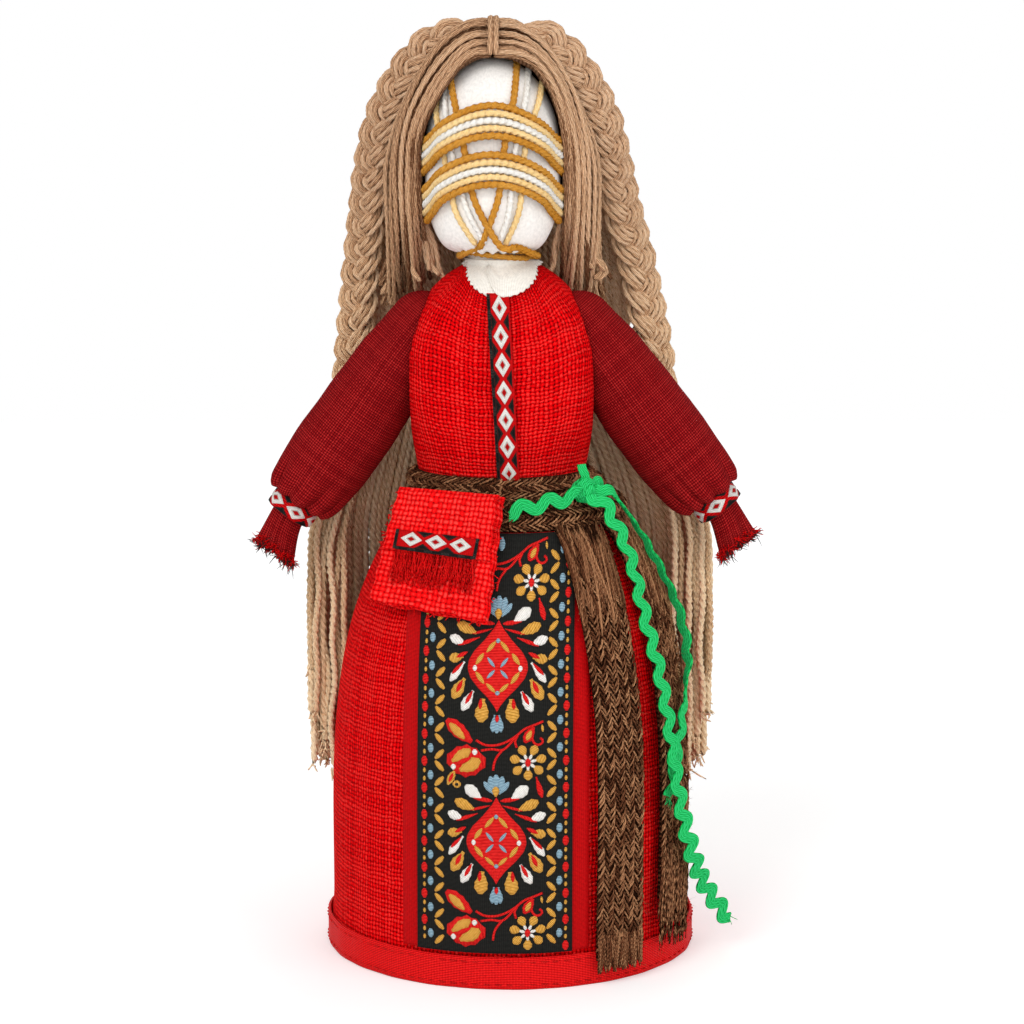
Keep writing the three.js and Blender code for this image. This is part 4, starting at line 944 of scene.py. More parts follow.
def addTrim(piles, place, start, end, first, blackEdge):
    half, (wide, tall), (heartWide, heartTall) = trim["half"], trim["diamondHalf"], trim["heartHalf"]

    def raised(x, y, lift):
        return place(x, y, lift + 0.22)

    count = int((end - first) / trim["pitch"]) + 2
    for k in range(-1, count):
        y = first + k * trim["pitch"]
        low, high = max(start, y - tall), min(end, y + tall)
        if high - low > 0.75 * 2 * tall:
            addPatch(piles["white"], place, diamond(low, y, high, wide))
            addPatch(piles["red"], raised, diamond(y - heartTall, y, y + heartTall, heartWide))
        gap = y + trim["pitch"] / 2
        if start + 3 < gap < end - 3:
            for sign in (-1, 1):
                corner = [(sign * half, gap - 2.9), (sign * 1.0, gap), (sign * half, gap + 2.9)]
                addPatch(piles["black"], place, corner, 0.2)
    if blackEdge:
        x = blackEdge * (half + 0.55)
        for a in np.arange(start, end - 1, 6):
            b = min(a + 6, end)
            addPatch(piles["black"], place, [(x - 0.5, a), (x + 0.5, a), (x + 0.5, b), (x - 0.5, b)], 0.25)


# Bodice: stuffed burlap with room for both sleeves, a trim down the front
bodice = {"around": 220, "up": 84, "bottom": 153.3, "ripple": 0.35, "armholeEase": 0.35, "ragged": 0.5}


def inArmhole(points, side):
    hinge, along, _, _ = armFrame(side, -arms["lowest"])
    reach = points - hinge
    s = reach @ along
    wide = np.linalg.norm(reach - s[..., None] * along, axis=-1)
    ease = bodice["armholeEase"]
    ballInside = np.linalg.norm(reach, axis=-1) < arms["rootRadius"] + ease
    return ballInside | ((s > 0) & (s < arms["fullAt"] + 2) & (wide < sleeveRadius(s) + ease))


def makeBodice():
    azimuth = np.arange(bodice["around"]) * 360 / bodice["around"]
    top = neckline(azimuth) + bodice["ragged"] * np.sin(azimuth * 2.7) * np.sin(azimuth * 0.9)
    climb = np.linspace(0, 1, bodice["up"])[:, None]
    height = bodice["bottom"] + (top - bodice["bottom"])[None] * climb
    plain = onBodice(azimuth[None], height, 0)
    lumps = bodice["ripple"] * (waves(plain, 17, 2) - 0.2)
    shares = np.linspace(0.3, 1, 90)
    axis = np.array([body["bodiceX"], 0, 0])
    flat, upright = np.array([1, 1, 0.0]), np.array([0, 0, 1.0])
    outward = ((plain - axis) * flat)[:, :, None]
    rays = axis + outward * shares[None, None, :, None] + height[..., None, None] * upright
    inside = inArmhole(rays, "left") | inArmhole(rays, "right")
    keep = np.where(inside.any(axis=2), shares[inside.argmax(axis=2)], 1)
    full = onBodice(azimuth[None], height, lumps)
    layers = []
    for thinner in (0.0, 0.04):
        share = (keep - thinner)[..., None]
        layers.append(axis + (full - axis) * (flat * share + upright))
    us = np.radians(np.linspace(0, 360, bodice["around"] + 1)) * body["chestRadius"] * 0.00098
    run = lengths(plain[:, bodice["around"] // 2]) * 0.001
    pile = newPile()
    addShell(pile, *layers, us, run)
    piece = makePiece("bodice_burlap", pile, burlap, "doll", ("bodice_shell",))


placket = {"top": 214.2, "bottom": 155.2, "topX": -3.6, "bottomX": -0.2, "lift": 0.75, "thickness": 0.6}


def onPlacket(x, y, lift):  # y runs down from the collar
    z = placket["top"] - y
    share = (placket["top"] - z) / (placket["top"] - placket["bottom"])
    x = x + placket["topX"] + (placket["bottomX"] - placket["topX"]) * share
    radius, power = bodiceRadius(z), chestPower(z)
    reach = np.abs((x - body["bodiceX"]) / radius) ** power
    depth = radius * body["bodiceDepth"] * (1 - reach) ** (1 / power)
    x, depth, z = np.broadcast_arrays(x, depth + placket["lift"] + lift, z)
    return np.stack([x, -depth, z], axis=-1)


def makePlacket():
    across = np.linspace(-trim["half"] - 1.05, trim["half"] + 0.55, 15)
    y = np.linspace(0, placket["top"] - placket["bottom"], 90)
    outer = onPlacket(across[None], y[:, None], placket["thickness"])
    inner = onPlacket(across[None], y[:, None], -0.3)
    pile = newPile()
    addSheet(pile, outer, inner, across * 0.001, y * 0.001)
    makePiece("placket_ribbon", pile, redRibbon, "doll", ("placket_trim",))
    piles = newPiles()

    def place(x, y, lift):
        return onPlacket(x, y, placket["thickness"] + lift)

    addTrim(piles, place, 0.2, y[-1] - 0.2, 4.2, -1)
    makeThreads("placket", piles, "doll")


makeBodice()
makePlacket()
print("bodice filled")

# Sleeves of finer cloth, gathered into a bound wrist, with a frayed hand
sleeve = {
    "around": 132, "upperRows": 32, "pleats": 10, "pleatDepth": 2.6, "ripple": 0.45, "cuffMiddle": 72.2,
    "cuffRadius": 7.8, "cuffAround": 72,
    "cuff": (  # out and along from the cuff's middle
        (-0.8, -2.8), (-0.25, -2.95), (0.05, -2.0), (-0.05, 0), (0.05, 2.0), (-0.3, 2.9), (-0.8, 2.8),
        (-0.9, 0),
    ),
}


def makeSleeve(side, seed):
    turn = np.arange(sleeve["around"]) * 2 * math.pi / sleeve["around"]
    root = -arms["rootRadius"] * np.cos(np.linspace(0.12, math.pi / 2, 12))
    upper = np.linspace(0.8, arms["fullAt"], sleeve["upperRows"], endpoint=False)
    bend = np.sin(np.linspace(0.0, 1, 30) ** 0.8 * math.pi / 2) ** (2 / arms["blunt"])
    end = arms["fullAt"] + (arms["length"] - arms["fullAt"]) * bend
    s = np.concatenate([root, upper, end, [71, arms["cuffEnd"] - 0.4]])
    plain = armPoints(side, turn[None], sleeveRadius(s)[:, None], s[:, None])
    lumps = sleeve["ripple"] * waves(plain, 8, seed) * between(s, 2, 20, 66, 69)[:, None]
    fold = turn * sleeve["pleats"] + 1.1 * np.sin(3 * turn + seed) + 0.7 * np.sin(2 * turn)
    ridge = np.abs(np.cos(fold / 2))[None]
    gather = between(s, 52, 68, 68.9, 70)[:, None]
    deep = (0.7 + 0.3 * np.sin(5 * turn + seed))[None]
    pleats = sleeve["pleatDepth"] * (ridge**0.7 - 0.72) * gather * deep
    crease = 0.5 * np.cos(turn * 6 + 2 * np.sin(turn * 2 + seed))[None] * between(s, 3, 10, 12, 30)[:, None]
    radius = sleeveRadius(s)[:, None] + np.maximum(lumps + crease, -0.35) + pleats
    puff = 1.6 * ridge**0.6 * between(s, 60, 67, 68.4, 69)[:, None]
    grid = armPoints(side, turn[None], radius, s[:, None] + puff)
    beside = armFrame(side)[3]
    inward = beside * (-1 if beside[2] > 0 else 1)
    grid = grid + inward * (arms["sag"] * between(s, 12, 40, 63, 69))[:, None, None]
    us = np.linspace(0, 2 * math.pi, sleeve["around"] + 1) * arms["fullRadius"] * 0.00096
    pile = newPile()
    addGrid(pile, grid, wrap=True, ends=True, us=us, vs=lengths(plain[:, 0]) * 0.001)
    node = f"sleeve_{side}"
    piece = makePiece(f"{node}_cloth", pile, wineCloth, f"arm_{side}", (node,))


def makeCuff(side, seed):
    middle, radius = sleeve["cuffMiddle"], sleeve["cuffRadius"]
    profile = np.array(sleeve["cuff"])
    count = sleeve["cuffAround"]
    around = np.arange(count) * 2 * math.pi / count
    wave = 0.12 * np.sin(around * 5 + seed)
    out, along = radius + profile[:, :1] + wave[None], middle + profile[:, 1:] + wave[None]
    cuff = armPoints(side, around[None], out, along)
    pile = newPile()
    addGrid(pile, cuff, wrap=True, loop=True, us=np.linspace(0, 0.046, count + 1), vs=np.arange(9) * 0.0012)
    makePiece(f"cuff_{side}_ribbon", pile, redRibbon, f"arm_{side}", (f"cuff_{side}",))
    piles = newPiles()

    def place(x, y, lift):
        return armPoints(side, y / radius, radius + lift + 0.12 * np.sin(y / radius * 5 + seed), middle + x)

    addTrim(piles, place, -22.5, 22.5, -22.0 + seed, 0)
    makeThreads(f"cuff_{side}", piles, f"arm_{side}")


hand = {
    "around": 90, "rows": 44, "start": 64, "shorter": 2.6, "radius": 5.2, "flare": 1.3, "cloth": 1.1,
    "hang": 4.0, "plugRow": 30,
}


def makeHand(side, seed):
    turn = np.arange(hand["around"]) * 2 * math.pi / hand["around"]
    s = np.linspace(hand["start"], arms["handEnd"] - hand["shorter"], hand["rows"])
    flare = smooth(s, 74, arms["handEnd"])[:, None]
    fold = np.cos(turn * 3 + seed)[None] * 0.1 + np.cos(turn * 7 + 1.3 * np.sin(2 * turn) + seed)[None] * 0.07
    radius = (hand["radius"] + hand["flare"] * flare) * (1 + fold * (0.6 + 0.8 * flare))
    ragged = 0.7 * np.sin(turn * 13 + seed) * np.sin(turn * 5) + 0.35 * np.sin(turn * 29)
    tilt = -1.9 * np.cos(turn)[None]  # cut so that the hollow shows from the front
    far = s[:, None] + (ragged[None] + tilt) * smooth(s, 80, arms["handEnd"])[:, None]
    _, along, _, beside = armFrame(side)
    low = -hand["hang"] if beside[2] > 0 else hand["hang"]
    hang = beside * low * (smooth(s, 71, 92) ** 1.2)[:, None, None]
    outer = armPoints(side, turn[None], radius, far) + hang
    inner = armPoints(side, turn[None], radius - hand["cloth"], far) + hang
    pile = newPile()
    us = np.linspace(0, 0.038, len(turn) + 1)
    addShell(pile, outer, inner, us, s * 0.001)
    deep = hand["plugRow"]  # the plug closes the hollow here
    wide = np.linspace(0.2, 1, 4)[:, None] * (radius[deep] - 0.6)
    plug = armPoints(side, turn[None], wide, s[deep] + 0 * turn[None]) + hang[deep]
    plug = np.concatenate([plug, plug[::-1] + along * 0.4])
    addGrid(pile, plug, wrap=True, loop=True, us=us, vs=np.arange(9) * 0.001)
    makePiece(f"hand_{side}_cloth", pile, wineCloth, f"arm_{side}", (f"hand_{side}",))
    middle = outer[-1].mean(axis=0)
    for colour, count, size, thick, back in (("red", 240, 1.9, 0.24, 2.4), ("black", 90, 2.6, 0.2, 0.3)):
        pile = newPile()
        pick = rng.integers(0, len(turn), count)
        out = unit(outer[-1][pick] - middle)
        roots = outer[-1][pick] - along * rng.uniform(0, back, count)[:, None] + out * 0.1
        addFibres(pile, roots, along * 0.8 + 0.6 * out, size, thick)
        finish = redYarn if colour == "red" else threads[colour]
        makePiece(f"hand_{side}_fray_{colour}", pile, finish, f"arm_{side}")


def makeArm(side):
    seed = 3 if side == "left" else 5
    makeSleeve(side, seed)
    makeCuff(side, seed)
    makeHand(side, seed)


for side in ("left", "right"):
    makeArm(side)
print("arms sewn")

# Head: white cloth drawn tight, with the cheeks swelling out under the yarn
head = {"around": 144, "up": 96, "fullness": 3.5, "jaw": 1.0, "bandDent": 0.3, "hole": 10.8}
yarn = {
    "radius": 1.24, "pitch": 2.3, "upper": 12, "lower": -3, "drop": 13, "lie": 0.95, "over": 1.95,
    "step": 0.8, "fuzz": 160, "twist": {"groove": 0.14, "turnLength": 6.5},
}


def headNarrow(z):  # the head's width at a height, as a share: a round crown over full cheeks
    power = np.where(np.asarray(z) < 0, head["fullness"], 2)
    return np.clip(1 - np.abs(np.asarray(z) / body["headHalf"][2]) ** power, 0.004, 1) ** (1 / power)


def onHead(x, y, z, lift):  # the point of the head's surface in the direction of x, y, z
    half = np.array(body["headHalf"])
    way = np.stack(np.broadcast_arrays(x, y, z), axis=-1)
    power = np.where(way[..., 2] < 0, head["fullness"], 2.0)
    flat = np.linalg.norm(way[..., :2] / half[:2], axis=-1)
    tall = np.abs(way[..., 2] / half[2])
    reach = way * (flat**power + tall**power)[..., None] ** (-1 / power[..., None])
    slope = np.maximum(flat, 0.001)[..., None] ** (power[..., None] - 2) * way[..., :2] / half[:2] ** 2
    steep = np.sign(way[..., 2]) * tall ** (power - 1) / half[2]
    normal = np.concatenate([slope, steep[..., None]], axis=-1)
    return reach + unit(normal) * np.asarray(lift)[..., None] + headCentre


def bandLevel(turn, rise):  # height of a band's middle, lower at the sides and behind
    return rise - yarn["drop"] * np.where(np.cos(turn) > 0, np.sin(turn) ** 2, 1)


def headSwell(turn, z):  # the cheeks swell out under the lower band
    under = bandLevel(turn, yarn["lower"]) - z
    swell = head["jaw"] * smooth(under, 5, 11) * (1 - 0.75 * smooth(-z, 24, 30))
    for rise in (yarn["upper"], yarn["lower"]):
        near = np.exp(-(((z - bandLevel(turn, rise)) / 5) ** 4))
        swell = swell - head["bandDent"] * near * (np.cos(turn) > -0.1)
    return swell


def makeHead():
    lowest = math.pi - math.asin(head["hole"] / body["headHalf"][0])
    fall = np.linspace(0.03, lowest, head["up"])[:, None]
    turn = np.arange(head["around"]) * 2 * math.pi / head["around"]
    turn = np.where(turn > math.pi, turn - 2 * math.pi, turn)[None]
    half = body["headHalf"]
    x, y = half[0] * np.sin(fall) * np.sin(turn), -half[1] * np.sin(fall) * np.cos(turn)
    z = half[2] * np.cos(fall) + 0 * turn
    lift = headSwell(turn, z) + 0.5 * (np.cos(turn * 22) - 1) * smooth(fall, 2.4, lowest)
    grid = onHead(x, y, z, lift)
    us = np.linspace(0, 2 * math.pi, head["around"] + 1) * half[0] * 0.001
    pile = newPile()
    addGrid(pile, grid, wrap=True, ends=True, us=us, vs=lengths(grid[:, 0]) * 0.001)
    piece = makePiece("head_cloth", pile, whiteCloth, "doll", ("head_cover",))


def bandPoints(turn, rise):
    front = np.cos(turn)
    z = bandLevel(turn, rise)
    share = np.where(front > 0, smooth(front, 0.5, 0.8), smooth(-front, 0.6, 0.85))
    half = body["headHalf"]
    narrow = headNarrow(z)
    lift = yarn["lie"] + yarn["over"] * share
    x = body["headX"] + (half[0] * narrow + lift) * np.sin(turn)
    return np.stack([x, -(half[1] * narrow + lift) * front, body["headHeight"] + z], axis=-1)


def makeBands():
    rows = [
        ("face_yarn_ochre_top", ochreYarn, "ochre_yarn"), ("face_yarn_yellow_top", yellowYarn, "yellow_yarn"),
        ("face_yarn_white", whiteYarn, "white_yarn"), ("face_yarn_yellow_bottom", yellowYarn, "yellow_yarn"),
        ("face_yarn_ochre_bottom", ochreYarn, "ochre_yarn"),
    ]
    for k, (node, finish, slotName) in enumerate(rows):
        row = (k - 2) * yarn["pitch"]
        start = 1.25 * math.pi
        turn = np.linspace(start, start + 1.5 * math.pi, 140)
        down = np.linspace(0, 1, 40)[1:-1]
        rise = yarn["upper"] + (yarn["lower"] - yarn["upper"]) * smooth(down, 0, 1)
        upper, lower = [bandPoints(turn, yarn[level] - row) for level in ("upper", "lower")]
        change = bandPoints(start + 1.5 * math.pi + 0.5 * math.pi * down, rise - row)
        path = np.concatenate([upper, change, lower])
        path = evenly(path, int(lengths(path)[-1] / yarn["step"]))
        pile = newPile()
        tone = 0.5 + 0.1 * waves(path, 5, k)[:, None]
        thick = yarn["radius"] * (1.06 if "ochre" in node else 1.0)
        addCord(pile, path, thick, tone=tone, **yarn["twist"])
        fuzz = path[rng.integers(0, len(path), yarn["fuzz"])]
        addFibres(pile, fuzz, fuzz - headCentre, 1.7, 0.05, 0.6)
        makePiece(f"{node}_wool", pile, finish, "doll", (node,))


# Where each strand crosses the face, from the hairline down: across and up from the middle of the head
strands = {
    "face_strand_yellow_left": ((-17.5, 22), (-17, 14), (-15.6, 5), (-12.6, -10), (-10.2, -17), (-4.8, -26)),
    "face_strand_white_left": ((-14.6, 24), (-14.2, 16), (-12.9, 5), (-9.4, -10), (-6.6, -17), (-1.9, -25.5)),
    "face_strand_ochre_left": ((-12.8, 24), (-11.6, 18), (-8.9, 5), (-6.3, -9.5), (-3.2, -17), (2.4, -25.6)),
    "face_strand_ochre_right": ((7.2, 29), (6.3, 18), (3.8, 5), (2.2, -9.5), (0.2, -17), (-3.0, -25.2)),
    "face_strand_white_right": ((10.8, 27), (9.8, 18), (7.2, 5), (5.6, -9.5), (4.6, -17), (1.9, -25.4)),
    "face_strand_yellow_right": ((15.2, 23), (13.8, 17), (10.2, 5), (8.9, -9.5), (7.2, -17.5), (3.6, -26)),
}
# Angle from the front, height and reach of the crossed strands' ends round the neck
crossedEnds = ((22, 228.2, 16.2), (45, 225.9, 14.4), (70, 224.6, 12.6), (98, 224.0, 12))


def makeStrands():
    looks = {"ochre": (ochreYarn, 1.25), "white": (whiteYarn, 1.1), "yellow": (yellowYarn, 1.1)}
    half = body["headHalf"]
    for k, (node, places) in enumerate(strands.items()):
        colour = node.split("_")[2]
        finish, thick = looks[colour]
        x, z = np.array(places).T
        depth = half[1] * np.sqrt(np.clip(headNarrow(z) ** 2 - (x / half[0]) ** 2, 0.004, 1))
        over = np.linspace(0.5, 2.6, 9)  # over the crown and down behind
        topX = x[0] * np.linspace(1, 0.6, 9)
        narrow = np.sqrt(1 - (topX / half[0]) ** 2)
        away, up = half[1] * narrow * np.sin(over), half[2] * narrow * np.cos(over)
        behind = onHead(topX, away, up, 0 * topX + yarn["lie"])
        crossing = np.where(z < -19, 1.3 * (node == "face_strand_ochre_left"), 0.0)
        faced = onHead(x, -depth, z, yarn["lie"] + crossing + headSwell(np.arctan2(x, depth), z))
        ending = []
        if colour == "ochre":  # after they cross, these two run on round the neck
            sign = 1 if node.endswith("left") else -1
            for angle, height, wide in crossedEnds:
                reach = wide + (0.7 if sign > 0 else 0)
                ending.append(atRadius(sign * angle, reach, height)[None] + neckCentre)
        path = spline(np.concatenate([behind[::-1], faced, *ending]), yarn["step"])
        pile = newPile()
        tone = 0.5 + 0.1 * waves(path, 5, k)[:, None]
        addCord(pile, path, thick, ref=(1.0, 0.02, 0.01), tone=tone, **yarn["twist"])
        makePiece(f"{node}_wool", pile, finish, "doll", (node,))


# Neck: wound cloth, a ragged collar in two crossing halves and the yarn tie
collar = {
    "top": 223.4, "neckEase": 0.1, "overlap": 0.9, "thickness": 0.55, "ragged": 0.55, "lift": 0.35,
    "wrapLow": 211, "wrapHigh": 227.5, "tieHeight": 223.9, "tiePitch": 2.15, "tieRadius": 1.12,
}


def makeNeck():
    turn = np.arange(72) * 5.0
    z = np.linspace(collar["wrapLow"], collar["wrapHigh"], 30)
    wrinkle = 0.2 * np.sin(np.radians(turn * 6))[None] * np.sin(z * 1.1)[:, None]
    folds = 0.35 * np.sin(z * 2.2)[:, None] + wrinkle
    grid = atRadius(turn[None], body["neckRadius"] - 0.35 + folds, z[:, None]) + neckCentre
    pile = newPile()
    addGrid(pile, grid, wrap=True, ends=True, us=np.linspace(0, 0.064, 73), vs=(z - z[0]) * 0.001)
    makePiece("neck_cloth", pile, creamCloth, "doll", ("neck_wrap",))

    for side, sign, lift in (("left", -1, 0.0), ("right", 1, 0.8)):
        azimuth = np.linspace(-20, 179, 120)
        share = np.linspace(0, 1, 30)[:, None]
        ragged = np.sin(azimuth * 1.9) * np.sin(azimuth * 0.7) + 0.6 * np.sin(azimuth * 3.7)
        low = neckline(azimuth) - collar["overlap"] + collar["ragged"] * ragged
        low = low + 5.5 * (1 - smooth(azimuth, -20, 1))  # the crossing ends are cut higher
        z = collar["top"] + (low - collar["top"])[None] * share
        near = body["neckRadius"] + collar["neckEase"]
        onNeck = atRadius(sign * azimuth[None], near + 0 * z, z) + neckCentre
        onCloth = onBodice(sign * azimuth[None], np.minimum(z, body["bodiceTop"] + 2.6), collar["lift"])
        blend = smooth(share, 0.1, 0.55)[..., None]
        middle = onNeck * (1 - blend) + onCloth * blend
        middle[..., 2] = z
        away = middle[..., :2] - neckCentre[:2]
        least = near / np.linalg.norm(away, axis=-1, keepdims=True)
        middle[..., :2] = neckCentre[:2] + away * np.maximum(1, least)
        crease = 0.5 * np.sin(np.radians(azimuth * 7))[None] * between(share, 0.1, 0.4, 0.6, 1.0)
        outward = radialOut(middle - neckCentre) * 0.75 + np.array([0, 0, 0.5])
        inner = middle + outward * (crease + lift * smooth(share, -0.3, 0.6))[..., None]
        pile = newPile()
        outer = inner + outward * collar["thickness"]
        addSheet(pile, outer, inner, np.linspace(0, 0.05, 120), np.linspace(0, 0.014, 30))
        makePiece(f"collar_{side}_cloth", pile, creamCloth, "doll", (f"collar_{side}",))

    turn = np.linspace(0, 4 * math.pi, 170)
    reach = body["neckRadius"] + 0.85
    rise = collar["tieHeight"] + collar["tiePitch"] * turn / (2 * math.pi) - 0.8 * np.sin(turn)
    path = np.stack([body["neckX"] + reach * np.sin(turn), reach * np.cos(turn), rise], axis=1)
    pile = newPile()
    addCord(pile, path, collar["tieRadius"], **yarn["twist"])
    makePiece("neck_tie_wool", pile, ochreYarn, "doll", ("neck_tie",))


makeHead()
makeBands()
makeStrands()
makeNeck()
print("head wound")

# Hair: twisted cords swept down from the parting
hair = {
    # the second tone, for the under layer, is painted shade in the gaps between the outer cords
    "half": (30.6, 31.6, 43.2), "cords": (29, 29), "tones": (0.42, 0.14), "layer": 1.9, "radius": 0.86,
    "step": 1.0, "rim": -13, "lining": 0.9, "bulge": 1.6, "fill": 4.4,
    "zones": ((0, 0.25), (0.25, 0.27), (0.52, 0.48)),
    "twist": {"groove": 0.13, "turnLength": 12, "shade": 0.07, "taper": 0.7},
}
# Where the hair meets the face: across, back and up from the middle of the head
faceEdge = {
    "left": (
        (0.7, -13, 33.4), (5.6, -14, 32), (10.4, -14.5, 29), (15.6, -14.5, 21.5), (20.6, -12, 13.7),
        (24, -8, 5.8), (24.2, -7, -2.8), (24.2, -6, -12.5),
    ),
    "right": (
        (0.7, -13, 33.4), (8.2, -14, 32), (14.8, -13.5, 29), (19.9, -12.5, 21.4), (22.5, -10.5, 13.5),
        (23.9, -8, 5.8), (24.2, -7, -2.8), (24.2, -6, -12.5),
    ),
}
# The swept hair's far line, under the braid
fullEdge = (
    (0.7, -2, 43.2), (8, -4.5, 41.2), (15, -6, 36.8), (22, -7, 28.4), (27.2, -7.5, 16.8), (30, -7, 6),
    (31.2, -6, -4), (31.4, -5, -13),
)


def onCap(ways, scale=1.0):  # points of the cap's surface in these directions of its unit ball
    return ways * np.array(hair["half"]) * scale + headCentre


def capArc(tilt, turn, t, sign):  # from the parting, tilted back, to the rim, turned from the front
    tilt, turn = math.radians(tilt), math.radians(turn)
    level = hair["rim"] / hair["half"][2]
    flat = math.sqrt(1 - level**2)
    start = np.array([0, math.sin(tilt), math.cos(tilt)])
    end = np.array([sign * flat * math.sin(turn), -flat * math.cos(turn), level])
    angle = math.acos(float(start @ end))
    return unit(start * np.sin((1 - t) * angle)[..., None] + end * np.sin(t * angle)[..., None])


def alongEdge(points, t, sign):  # direction on the cap at share t of a line of points
    edge = np.array(points) * np.array([sign, 1, 1]) / np.array(hair["half"])
    stops = np.linspace(0, 1, len(edge))
    return np.stack([np.interp(t, stops, edge[:, axis]) for axis in range(3)], axis=-1)


def arcWays(share, t, sign):  # share runs from the face to the nape, t from the parting down
    share, t = np.broadcast_arrays(np.asarray(share, float), np.asarray(t, float))
    front = alongEdge(faceEdge["left" if sign < 0 else "right"], t, sign)
    side = alongEdge(fullEdge, t, sign)
    middle = capArc(6, 116, t, sign)
    back = capArc(64, 177, t, sign)
    first, second, third = [np.clip((share - low) / wide, 0, 1)[..., None] for low, wide in hair["zones"]]
    ways = front * (1 - first) + side * (first - second) + middle * (second - third) + back * third
    bulge = hair["bulge"] * np.sin(math.pi * first) / hair["half"][1]
    fill = sign * hair["fill"] / hair["half"][0] * np.sin(math.pi * np.clip((share - 0.2) / 0.4, 0, 1))
    fill = fill * smooth(t, 0.45, 0.9)
    return ways + np.concatenate([fill[..., None], -bulge, 0 * bulge], axis=-1)


def hairCordInto(pile, path, radius, ref, tone):
    addCord(pile, path, radius, ref=ref, tone=tone, **hair["twist"])


def makeHairSide(side, sign):
    pile = newPile()
    for layer, count in enumerate(hair["cords"]):
        for k in range(count):
            share = np.clip((k + 0.5 * layer + rng.uniform(-0.12, 0.12)) / (count - 1), 0, 1)
            t = np.linspace(0, 1, 25)
            path = onCap(arcWays(share + 0.008 * np.sin(t * 5 + k), t, sign))
            lift = -hair["layer"] * layer + 0.4 * (-1) ** k - 1.2 * (1 - smooth(t, 0.0, 0.12))
            lift = lift + rng.uniform(-0.5, 0.5) * np.sin(math.pi * t)
            path = path + unit(path - headCentre) * lift[:, None]
            if share < 0.6:  # these hang down beside the face and back behind the shoulder
                away = np.interp(share, (0, 0.25, 0.6), (21, 31, 37)) + rng.uniform(-2, 2)
                end = np.array([sign * away, 18 + rng.uniform(-1.5, 4), -rng.uniform(40, 54)])
            else:
                end = path[-1] - headCentre - np.array([0, 0, rng.uniform(2, 6)])
            end = end + headCentre
            drop = np.linspace(0, 1, 6)[1:, None]
            tail = path[-1] * (1 - drop) + end * drop
            tail[:, :2] = path[-1, :2] * (1 - drop**1.5) + end[:2] * drop**1.5
            path = spline(np.vstack([path[::3], tail]), hair["step"])
            path = path + 0.45 * np.stack([waves(path, 8, k), waves(path, 8, k + 50), 0 * path[:, 0]], axis=1)
            # The under layer's cords are much darker: painted shade in the gaps between the outer cords
            tone = hair["tones"][layer] + rng.uniform(-0.12, 0.12)
            hairCordInto(pile, path, hair["radius"] * rng.uniform(0.9, 1.08), (sign * 0.1, 1.0, 0.2), tone)
    makePiece(f"hair_{side}_cords", pile, hairCord, "doll", (f"hair_{side}",))

    # A dark sheet under the cords: painted shade seen through the gaps between them
    share = np.linspace(0.09, 1, 46)[None]
    t = np.linspace(0, 1, 40)[:, None]
    ways = arcWays(share, t, sign)
    pile = newPile()
    us, vs = np.linspace(0, 0.07, 46), np.linspace(0, 0.06, 40)
    addSheet(pile, onCap(ways, hair["lining"]), onCap(ways, hair["lining"] - 0.05), us, vs)
    makePiece(f"hair_{side}_lining", pile, hairShade, "doll")


# Braid: three strands of several cords each
braid = {
    "wide": 3.8, "deep": 2.2, "period": 25.0, "cordRadius": 0.96, "splay": 7, "facing": (0.5, -0.85, 0.12),
    "looseEnds": 15, "endRadius": 0.95, "bindTurns": 3, "bindHalf": (5.2, 4.4), "bindRadius": 0.85,
    "ref": (0.3, 1.0, 0.1),
    "fan": ((-2.5, 0.2), (-0.85, 0.8), (0.85, 0.8), (2.5, 0.2), (-1.6, -1.0), (0.1, -1.2), (1.7, -1.0)),
}
braidRoute = (
    (6, 2, 35), (13.5, 0, 37.6), (24.4, 0, 29), (33.7, 4, 13.5), (38.2, 10, -3), (40.8, 18, -20),
    (42.8, 24.5, -36), (45.8, 26.5, -66), (47.8, 27, -91),
)


